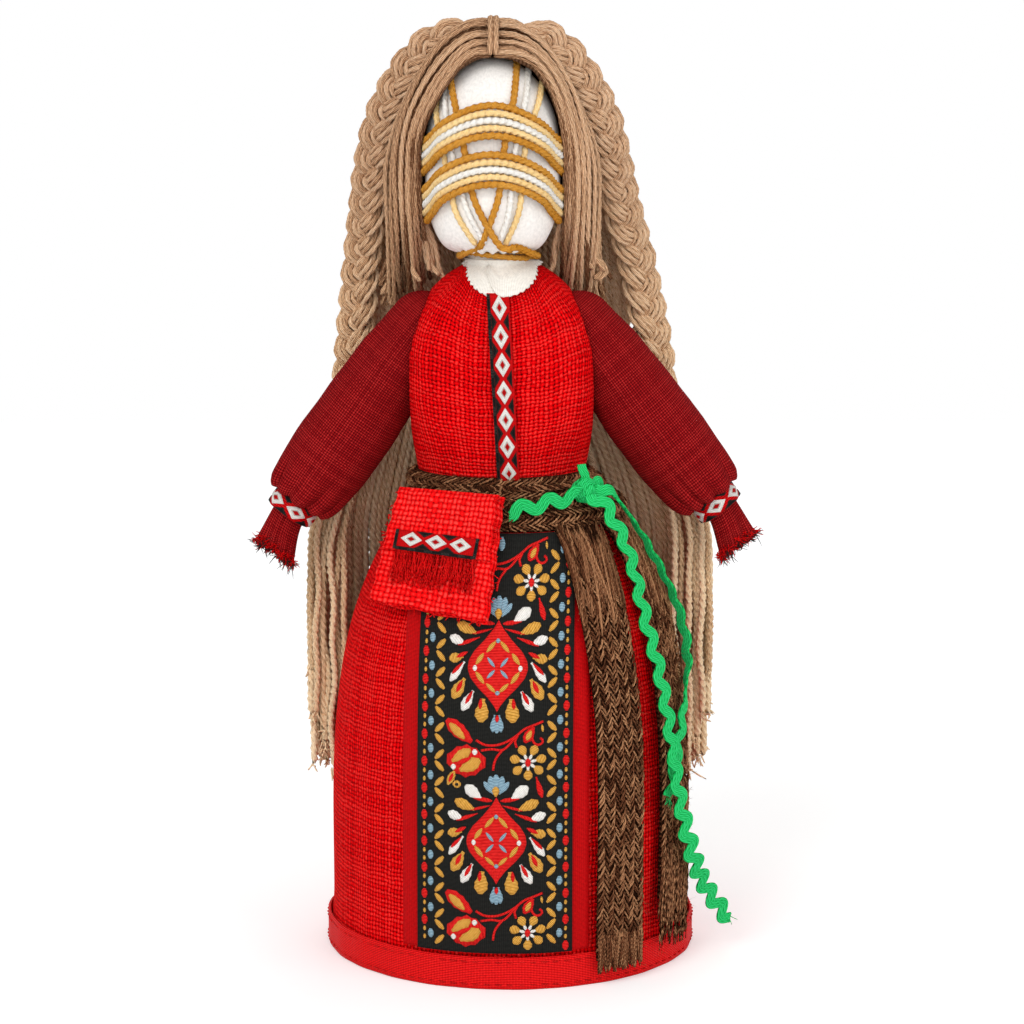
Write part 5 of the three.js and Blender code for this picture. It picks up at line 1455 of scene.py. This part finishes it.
def makeBraid(side, sign):
    route = np.array(braidRoute, float)
    if sign > 0:
        route[:, 0] += braid["splay"] * smooth(-route[:, 2], 3, 66)
    line = spline(route * np.array([sign, 1, 1]) + headCentre, 0.5)
    along = unit(np.gradient(line, axis=0))
    outward = np.broadcast_to(np.array(braid["facing"]) * np.array([sign, 1, 1]), line.shape)
    across = unit(np.cross(along, outward))
    depth = np.cross(across, along)
    far = lengths(line)
    size = 0.45 + 0.55 * smooth(far, 0, 16)
    size = size * (1 - 0.35 * smooth(far, far[-1] - 12, far[-1] - 1))
    pile = newPile()
    for strand in range(3):
        angle = 2 * math.pi * (far / braid["period"] + strand / 3)
        middle = line + across * (braid["wide"] * size * np.sin(angle))[:, None]
        middle = middle - depth * (braid["deep"] * size * np.sin(2 * angle))[:, None]
        way = unit(np.gradient(middle, axis=0))
        beside = unit(np.cross(way, depth))
        up = np.cross(beside, way)
        for k, (x, y) in enumerate(braid["fan"]):
            shift = beside * (x * size)[:, None] + up * (y * size)[:, None]
            path = middle + shift + 0.18 * np.stack([waves(middle, 5, k + 7 * strand)] * 3, axis=1)
            path = evenly(path, int(lengths(path)[-1] / 1.1))
            thick = braid["cordRadius"] * rng.uniform(0.94, 1.06)
            hairCordInto(pile, path, thick, braid["ref"], 0.5 + rng.uniform(-0.12, 0.14))
    end = line[-1]
    wide, deep = across[-1] * braid["bindHalf"][0], depth[-1] * braid["bindHalf"][1]
    for turn in range(braid["bindTurns"]):  # the cord that binds the end, and the loose ends under it
        angle = np.linspace(0, 2 * math.pi, 40)
        ring = end + np.outer(np.cos(angle), wide) + np.outer(np.sin(angle), deep)
        ring = ring - along[-1] * (1.2 + 1.5 * turn)
        hairCordInto(pile, ring, braid["bindRadius"], along[-1], 0.4)
    for _ in range(braid["looseEnds"]):
        spread = rng.normal(0, 1, 2)
        root = end + across[-1] * spread[0] * 1.8 + depth[-1] * spread[1] * 1.4 - along[-1] * 3
        tip = root + along[-1] * rng.uniform(9, 13) + across[-1] * spread[0] * 1.2 + depth[-1] * spread[1]
        path = spline(np.array([root, (root + tip) / 2 + across[-1] * rng.uniform(-0.6, 0.6), tip]), 1.0)
        hairCordInto(pile, path, braid["endRadius"], braid["ref"], 0.5 + rng.uniform(-0.1, 0.1))
    makePiece(f"braid_{side}_cords", pile, hairCord, f"braid_{side}", (f"braid_{side}",))


# Loose cords beside the neck
sideLock = {"cords": 7, "radius": 0.95, "ref": (0.2, 1.0, 0.1)}


def makeSideLock(side, sign):
    pile = newPile()
    for k in range(sideLock["cords"]):
        near, deep = 0.9 * (k - 3) + rng.uniform(-0.6, 0.6), rng.uniform(-2.4, 2.4)
        curl = rng.uniform(-1, 2.5) if sign < 0 or k < 3 else rng.uniform(9, 15)
        points = [
            (26.0 + near, -5 + deep, -4), (26.2 + near, -1 + deep, -14),
            (24.4 + near + 0.15 * curl, 3 + deep, -22), (22.0 + near + 0.5 * curl, 5.5 + deep, -29),
            (21.0 + near + curl, 6.5 + deep, -34 - rng.uniform(0, 4)),
        ]
        if k % 3 == 0:  # an end that hooks
            points.append((18.6 + near + curl, 5.5 + deep, points[-1][2] - 3.5))
        path = spline(np.array(points) * np.array([sign, 1, 1]) + headCentre, 0.9)
        tone = 0.48 + rng.uniform(-0.14, 0.14)
        hairCordInto(pile, path, sideLock["radius"], sideLock["ref"], tone)
    makePiece(f"side_lock_{side}_cords", pile, hairCord, "doll", (f"side_lock_{side}",))


# Curtain of loose cords down the back, in three locks
curtain = {
    "top": 246.4, "end": 51.5, "radius": 1.5, "step": 1.7, "topHalf": 40, "flare": 26.6, "side": 32,
    "back": 38, "backBelow": 44.6, "skirtEase": 7.9, "spread": (56, 130), "wrap": (96, 146), "tuck": (7, 30),
    "tuckBy": (9.5, 16, 9), "lean": (157, 220), "looseEnds": (34, 19, 9, 1, 14, 5), "looseRadius": 1.35,
    "looseTurn": 0.03, "looseTone": 0.62,
    # the inner layer's lower tone is painted shade under the outer layer
    "layers": ((25, 0.008, 1.5, 0.82), (23, 0.04, 4.6, 0.62)),  # cords, overlap, inset and tone
    "twist": {"ref": (0.2, 1.0, 0.1), "groove": 0.2, "turnLength": 8},
}


def onCurtain(turn, z, inset):
    drop = body["headHeight"] - z
    spread, wrap = smooth(drop, *curtain["spread"]), smooth(drop, *curtain["wrap"])
    tuck = 1 - smooth(drop, *curtain["tuck"])  # the cords come out from under the cap
    tuckWide, tuckSide, tuckBack = curtain["tuckBy"]
    wide = curtain["topHalf"] + curtain["flare"] * spread - tuckWide * tuck
    sideY = curtain["side"] - 19 * wrap - tuckSide * tuck
    lean = 1 - smooth(z, *curtain["lean"])
    back = curtain["back"] + (curtain["backBelow"] - curtain["back"]) * lean - tuckBack * tuck
    back = np.maximum(back, skirtRadius(z) * (z < 170) + curtain["skirtEase"])
    x = body["headX"] * (1 - spread) - (wide - inset) * np.cos(turn)
    # The right braid hangs wider, and the hair under it with it
    x = x + 5 * np.maximum(0, -np.cos(turn)) * smooth(drop, 8, 34) * (1 - spread)
    return np.stack([x, sideY + (back - sideY - inset) * np.sin(turn), z + 0 * x], axis=-1)


def addLooseCords(pile, turn, seed):  # a few cords hang apart at each side, forward of the rest
    for k, rise in enumerate(curtain["looseEnds"]):
        z = np.arange(curtain["top"], curtain["end"] + rise, -2.0)
        sway = waves(np.stack([0 * z + 9 * k, 0 * z + seed, z], axis=1), 9, k + seed) * smooth(190 - z, 0, 40)
        path = onCurtain(turn, z, 1.4 + 2.2 * k + 1.4 * sway)
        path[:, 1] -= (2 + 2.5 * (k % 2) + 0.8 * np.roll(sway, 3)) * smooth(165 - z, 0, 30)
        path = evenly(path, int(lengths(path)[-1] / 1.2))
        tone = curtain["looseTone"] + rng.uniform(-0.14, 0.14)
        addCord(pile, path, curtain["looseRadius"], sides=10, tone=tone, shade=0.14, **curtain["twist"])
        frayEnd(pile, path[-1], np.array([0, 0, -1.0]), 6, 4.0, 0.35, 0.3, tone)


def makeCurtain():
    for lock in range(3):
        pile = newPile()
        for count, over, depth, shade in curtain["layers"]:
            for k in range(count):
                share = (k + 0.5 + rng.uniform(-0.25, 0.25)) / count
                turn = math.pi * (lock - over + (1 + 2 * over) * share) / 3
                edge = min(turn, math.pi - turn)  # the cords at the sides end higher
                end = curtain["end"] + rng.uniform(0, 11)
                end = end + 18 * (1 - smooth(edge, 0.0, 0.12)) * rng.uniform(0.1, 1)
                z = np.arange(curtain["top"], end, -2.5)
                inset = depth + rng.uniform(-0.4, 0.6)
                swing = 0.006 * waves(np.stack([0 * z + k, 0 * z + lock * 9, z], axis=1), 13, k)
                swing = swing * smooth(curtain["top"] - z, 0, 30)
                ripple = 0.35 * waves(np.stack([0 * z + k * 3, 0 * z, z], axis=1), 10, k + 3)
                path = onCurtain(turn + swing, z, inset + ripple)
                path = evenly(path, int(lengths(path)[-1] / curtain["step"]))
                tone = shade + rng.uniform(-0.16, 0.16)
                thick = curtain["radius"] * rng.uniform(0.9, 1.08)
                addCord(pile, path, thick, sides=9, tone=tone, shade=0.15, **curtain["twist"])
                frayEnd(pile, path[-1], np.array([0, 0, -1.0]), 4, 2.6, 0.3, 0.5, tone)
        if lock != 1:
            turn = curtain["looseTurn"]
            addLooseCords(pile, turn if lock == 0 else math.pi - turn, lock)
        node = f"back_hair_{lock + 1}"
        makePiece(f"{node}_cords", pile, hairCord, "back_hair", (node,))


def makePartingTie():
    line = np.array([
        (0, -14, 32), (0, -14.2, 34.4), (0, -12.4, 38), (0, -8.4, 40.8), (0, -3.5, 42.8), (0, 1, 43),
    ])
    pile = newPile()
    for x in (-0.95, 0.75):
        path = line + np.array([body["headX"] + 0.3 + x, 0, body["headHeight"]])
        hairCordInto(pile, spline(path, 0.8), 1.0, (1.0, 0.1, 0.1), 0.42)
    makePiece("parting_tie_cord", pile, hairCord, "doll", ("parting_tie",))


for side, sign in (("left", -1), ("right", 1)):
    makeHairSide(side, sign)
    makeBraid(side, sign)
    makeSideLock(side, sign)
makePartingTie()
makeCurtain()
print("hair combed")

# Sash: wool plaited flat, in columns of slanting strands
plait = {
    "pitch": 1.95, "radius": 0.45, "crown": 0.8, "points": 6,
    "twist": {"plies": 2, "groove": 0.22, "turnLength": 3, "sides": 7},
}


def addPlait(pile, place, start, length, width, columns, rise):
    column = width / columns
    t = np.linspace(0, 1, plait["points"])
    for k in range(columns):
        for y in np.arange(start, length - rise * 0.4, plait["pitch"]):
            climb = t if k % 2 else 1 - t
            jitter = rng.normal(0, 0.25, 4)
            x = -width / 2 + column * (k - 0.14 + 1.28 * t) + jitter[0] * 0.5
            along = y + jitter[1] + climb * (rise + jitter[2])
            lift = plait["crown"] * (np.sin(math.pi * np.clip(t, 0.04, 0.96)) - 0.4) + 0.2 * jitter[3]
            path = place(x, np.clip(along, 0, length), lift)
            thick = plait["radius"] * rng.uniform(0.85, 1.2)
            tone = 0.52 + rng.uniform(-0.26, 0.34)
            addCord(pile, path, thick, ref=(0.31, 0.17, 0.93), tone=tone, **plait["twist"])


sash = {
    "lowerZ": 145.8, "lowerHalf": 4.8, "lowerRadius": 36.5, "upperZ": 152.5, "upperHalf": 3.7,
    "upperRadius": 29.5, "thickness": 4.4, "ease": 0.3, "columns": 4, "rise": 5.2, "fuzz": 260,
}


def onLowerSash(x, y, lift):  # x runs down across the turn, y round the waist
    z = sash["lowerZ"] - x
    full = np.cos(np.clip(x / sash["lowerHalf"], -1, 1) * 1.25)
    radius = skirtRadius(z) + sash["ease"] + sash["thickness"] * np.maximum(full, 0.25) - 0.85 + lift
    return atRadius(np.degrees(y / sash["lowerRadius"]), radius, z)


def onUpperSash(x, y, lift):
    z = sash["upperZ"] - x
    full = np.cos(np.clip(x / sash["upperHalf"], -1, 1) * 1.2)
    offset = sash["ease"] + sash["thickness"] * np.maximum(full, 0.3) - 0.85 + lift
    path = onBodice(np.degrees(y / sash["upperRadius"]), z, offset)
    least = (skirtRadius(z) + offset - 1.2) * (z < body["waistHeight"] + 0.5)
    wider = np.maximum(1, least / np.linalg.norm(path[..., :2], axis=-1))[..., None]
    return path * (wider * np.array([1, 1, 0]) + np.array([0, 0, 1]))


def makeSash():
    for name, place in (("lower", onLowerSash), ("upper", onUpperSash)):
        half, girth = sash[f"{name}Half"], 2 * math.pi * sash[f"{name}Radius"]
        x = np.linspace(-half, half, 11)
        y = np.linspace(0, girth, 121)[:-1]
        outer = place(x[:, None], y[None], -0.5)
        inner = np.stack([outer[-1], outer[0]]) * np.array([0.94, 0.94, 1])
        grid = np.concatenate([outer, inner])
        pile = newPile()
        us = np.linspace(0, 0.001 * girth, 121)
        # The band under the plait is toned dark: painted shade in the gaps between the strands
        addGrid(pile, grid, wrap=True, loop=True, us=us, vs=np.arange(len(grid) + 1) * 0.001, tone=0.1)
        addPlait(pile, place, -2, girth, 2 * half - 0.5, sash["columns"], sash["rise"])
        roots = place(rng.uniform(-half, half, sash["fuzz"]), rng.uniform(0, girth, sash["fuzz"]), 0.3)
        addFibres(pile, roots, radialOut(roots) + np.array([0, 0, 0.3]), 2.2, 0.06)
        makePiece(f"sash_{name}_wool", pile, wool, "doll", (f"sash_{name}",))


tails = {
    "front": {"top": 35, "bottom": 34.5, "end": 4, "columns": 9, "loose": 0.045},
    "side": {"top": 64, "bottom": 57, "end": 7, "columns": 9, "loose": 0.2},
    "width": 17.2, "topZ": 144.0, "sashOut": 37.4, "ease": 1.9, "base": 1.1, "tuck": 1.6, "plaitStart": 15,
    "rise": 4.4, "longStrands": 64, "looseStrands": 90, "fuzz": 240,
}


def makeTail(name):
    tail = tails[name]
    length, half = tails["topZ"] - tail["end"], tails["width"] / 2

    def place(x, y, lift):
        z = tails["topZ"] - y
        tuck = tails["tuck"] * (1 - smooth(y, 0, 7))
        radius = np.maximum(skirtRadius(z) + tails["ease"], tails["sashOut"]) + lift - tuck
        middle = tail["top"] + (tail["bottom"] - tail["top"]) * y / length
        sway = 0.35 * np.sin(y / 17 + tail["top"])
        return atRadius(middle + np.degrees((x + sway) / radius), radius, z)

    def raised(x, y, lift):
        return place(x, y, tails["base"] + 0.45 + lift)

    x = np.linspace(-half + 0.4, half - 0.4, 15)
    y = np.linspace(0, length * (1 - 0.6 * tail["loose"]), 90)
    outer = place(x[None], y[:, None], tails["base"] + 0.12 * np.sin(x * 4)[None])
    inner = place(x[None], y[:, None], 0.1 + 0 * x[None])
    pile = newPile()
    # The cloth under the plait is toned dark: painted shade in the gaps between the strands
    addSheet(pile, outer, inner, x * 0.001, y * 0.001, tone=0.08)
    base = makePiece(f"sash_tail_{name}_woven", pile, wool, "sash_ends", (f"sash_tail_{name}",))

    pile = newPile()
    plaited = length * (1 - tail["loose"])
    addPlait(pile, raised, tails["plaitStart"], plaited, tails["width"], tail["columns"], tails["rise"])
    for k in range(tails["longStrands"]):  # under the belt the strands still run long
        y = np.linspace(rng.uniform(0, 8), rng.uniform(18, 34), 10)
        x = rng.uniform(-0.5, 0.5) * tails["width"]
        x = x + rng.uniform(1, 5) * (1 if k % 2 else -1) * np.linspace(0, 1, 10)
        path = raised(np.clip(x, -half, half), y, 0.2 + rng.uniform(-0.3, 0.6) + 0 * y)
        tone = 0.5 + rng.uniform(-0.26, 0.32)
        addCord(pile, path, 0.5, ref=(0.9, 0.3, 0.1), tone=tone, **plait["twist"])
    start = plaited - 3
    for _ in range(tails["looseStrands"]):  # the strands run out loose at the end
        x = rng.uniform(-half, half)
        first = start - rng.uniform(0, 4)
        last = start + 3 + length * tail["loose"] * rng.uniform(0.55, 1.05)
        y = np.linspace(first, min(length, last), 9)
        bend = rng.normal(0, 1.0) * np.linspace(0, 1, 9) ** 1.6
        path = raised(x + bend, y, 0.1 + rng.uniform(-0.2, 0.8) + 0 * y)
        tone = 0.5 + rng.uniform(-0.2, 0.25)
        addCord(pile, path, 0.42, ref=(0.9, 0.3, 0.1), plies=1, groove=0, sides=5, tone=tone)
    fuzz = tails["fuzz"]
    edge = rng.choice([-1, 1], fuzz) * rng.uniform(0.75, 1, fuzz) * tails["width"] / 2
    roots = raised(edge, rng.uniform(0, length, fuzz), 0.2)
    addFibres(pile, roots, radialOut(roots), 2.6, 0.06)
    makePiece(f"sash_tail_{name}_plait", pile, wool, "sash_ends")


makeSash()
makeTail("front")
makeTail("side")
print("sash tied")

# Purse: a burlap bag hung from the sash, its flap closed with a trim and a fringe
purse = {
    "hinge": (-15.45, -30.32, 154.5), "across": (0.891, -0.454, 0), "down": (-0.185, -0.363, -0.913),
    "normal": (-0.4146, -0.8137, 0.4075), "topWidth": 36, "bottomWidth": 41.5, "length": 38.8, "cloth": 1.3,
    "skew": 0.002, "shift": -2.0, "sag": 2.5, "flap": 20.8, "flapLift": 3.2, "fold": (0.4, 8.0),
    "trimTop": 14.6, "trimHalf": 14.2, "trimLift": 5.2, "fringe": 110, "frays": 46,
}


def onPurse(x, drop, lift):
    x, drop, lift = np.broadcast_arrays(x, drop, lift)
    drop = purse["sag"] + drop * (1 + purse["skew"] * x)
    spot = np.array(purse["hinge"]) + (x + purse["shift"])[..., None] * np.array(purse["across"])
    return spot + drop[..., None] * np.array(purse["down"]) + lift[..., None] * np.array(purse["normal"])


def purseHalf(drop):
    return (purse["topWidth"] + (purse["bottomWidth"] - purse["topWidth"]) * drop / purse["length"]) / 2


def makePanel(name, node, bodyName, start, end, lift, inset, rows=40, cols=40, swell=0.0, roll=0.0):
    drop = np.linspace(start, end, rows)[:, None]
    share = np.linspace(-1, 1, cols)[None]
    wave = 0.28 * np.sin(drop * 0.9 + share * 2) * np.abs(share) ** 6
    x = share * (purseHalf(drop) - inset) + wave
    lump = 0.16 * waves(np.stack(np.broadcast_arrays(x, drop, 0 * x), axis=-1), 5, lift)
    belly = swell * (1 - share**4) * np.sin(math.pi * np.clip((drop - start) / (end - start), 0, 1))
    rise = lift + lump + belly
    rise = rise - roll * (1 - smooth(drop, start, start + 2.4))
    fall = drop + 0.3 * np.sin(share * 9 + lift) * smooth(drop, end - 3, end)
    pile = newPile()
    outer, inner = onPurse(x, fall, rise + purse["cloth"]), onPurse(x, fall, rise)
    addSheet(pile, outer, inner, share[0] * 0.0185, drop[:, 0] * 0.001)
    panel = makePiece(name, pile, coarseBurlap, bodyName, (node,))
    pile = newPile()
    for _ in range(purse["frays"]):  # loose threads at the cut edges
        edge = rng.integers(0, 3)
        if edge == 2:
            root = outer[-1, rng.integers(2, cols - 2)]
            way = np.array(purse["down"])
        else:
            row = rng.integers(2, rows - 2)
            root = outer[row, 0 if edge == 0 else -1]
            way = np.array(purse["across"]) * (-1 if edge == 0 else 1)
        frayEnd(pile, root - np.array(purse["normal"]) * 0.6, way, 1, 1.5, 0.2, 0.5, 0.5)
    return panel, makePiece(f"{name}_fray", pile, redYarn, bodyName)


def makePurse():
    makePanel("purse_back_burlap", "purse_back", "purse", 0, purse["length"], 0.0, 0.0)
    makePanel("purse_front_burlap", "purse_front", "purse", 2, purse["length"] - 0.2, 1.6, 0.1, swell=0.25)
    lift = purse["flapLift"]
    flap = makePanel("purse_flap_burlap", "purse_flap", None, 0, purse["flap"], lift, 0.8, rows=28, roll=0.9)
    fold = [tuple(0.001 * onPurse(0.0, drop, lift)) for drop in purse["fold"]]
    for piece in flap:  # the flap and its fray join no body; their places are baked into the meshes
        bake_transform(piece)

    half = purse["trimHalf"]
    across = np.linspace(-1, 1, 40) * half
    y = purse["trimTop"] + np.linspace(0, 5.9, 9)
    pile = newPile()
    outer = onPurse(across[None], y[:, None], purse["trimLift"] + 0.1 * np.sin(across)[None])
    inner = onPurse(across[None], y[:, None], 4.6 + 0 * across[None])
    addSheet(pile, outer, inner, across * 0.001, y * 0.001)
    makePiece("purse_trim_ribbon", pile, redRibbon, "purse_flap", ("purse_trim",))
    piles = newPiles()

    def place(x, y, lift):
        return onPurse(y, purse["trimTop"] + 2.6 + x, purse["trimLift"] + lift)

    addTrim(piles, place, 0.2 - half, half - 0.2, -8.7, 1)
    for end in (-half, half):
        bar = [(-2.8, end - 0.5), (3.6, end - 0.5), (3.6, end + 0.5), (-2.8, end + 0.5)]
        addPatch(piles["black"], place, bar, 0.3)
    makeThreads("purse_trim", piles, "purse_flap")

    pile = newPile()
    top = purse["flap"] - 0.7
    for _ in range(purse["fringe"]):
        x = rng.uniform(-1, 1) * half
        end = top + rng.uniform(7, 12.5)
        drop = np.linspace(top, end, 12)
        bend = rng.normal(0, 0.9) * np.linspace(0, 1, 12) ** 1.5
        bend = bend + 0.25 * np.sin(drop * rng.uniform(0.8, 1.6) + x)
        rise = 3.6 + rng.uniform(-0.2, 0.9) + 0.8 * (1 - smooth(drop, top, top + 2.2))
        path = onPurse(x + bend, drop, rise)
        addCord(pile, path, 0.3, ref=purse["normal"], plies=2, groove=0.15, turnLength=2.5, sides=6)
    makePiece("purse_fringe_threads", pile, redYarn, "purse_flap", ("purse_fringe",))


makePurse()
print("purse hung")

# The solids inside keep their shape
inside = {
    "base_disc": card, "core_roll": stuffing, "skirt_stuffing": stuffing, "torso_stuffing": torsoRoll,
    "head_stuffing": stuffing, "arm_stuffing_left": stuffing, "arm_stuffing_right": stuffing,
}
for node, finish in inside.items():
    for place in bpy.data.objects[node].material_slots:
        place.material = finish
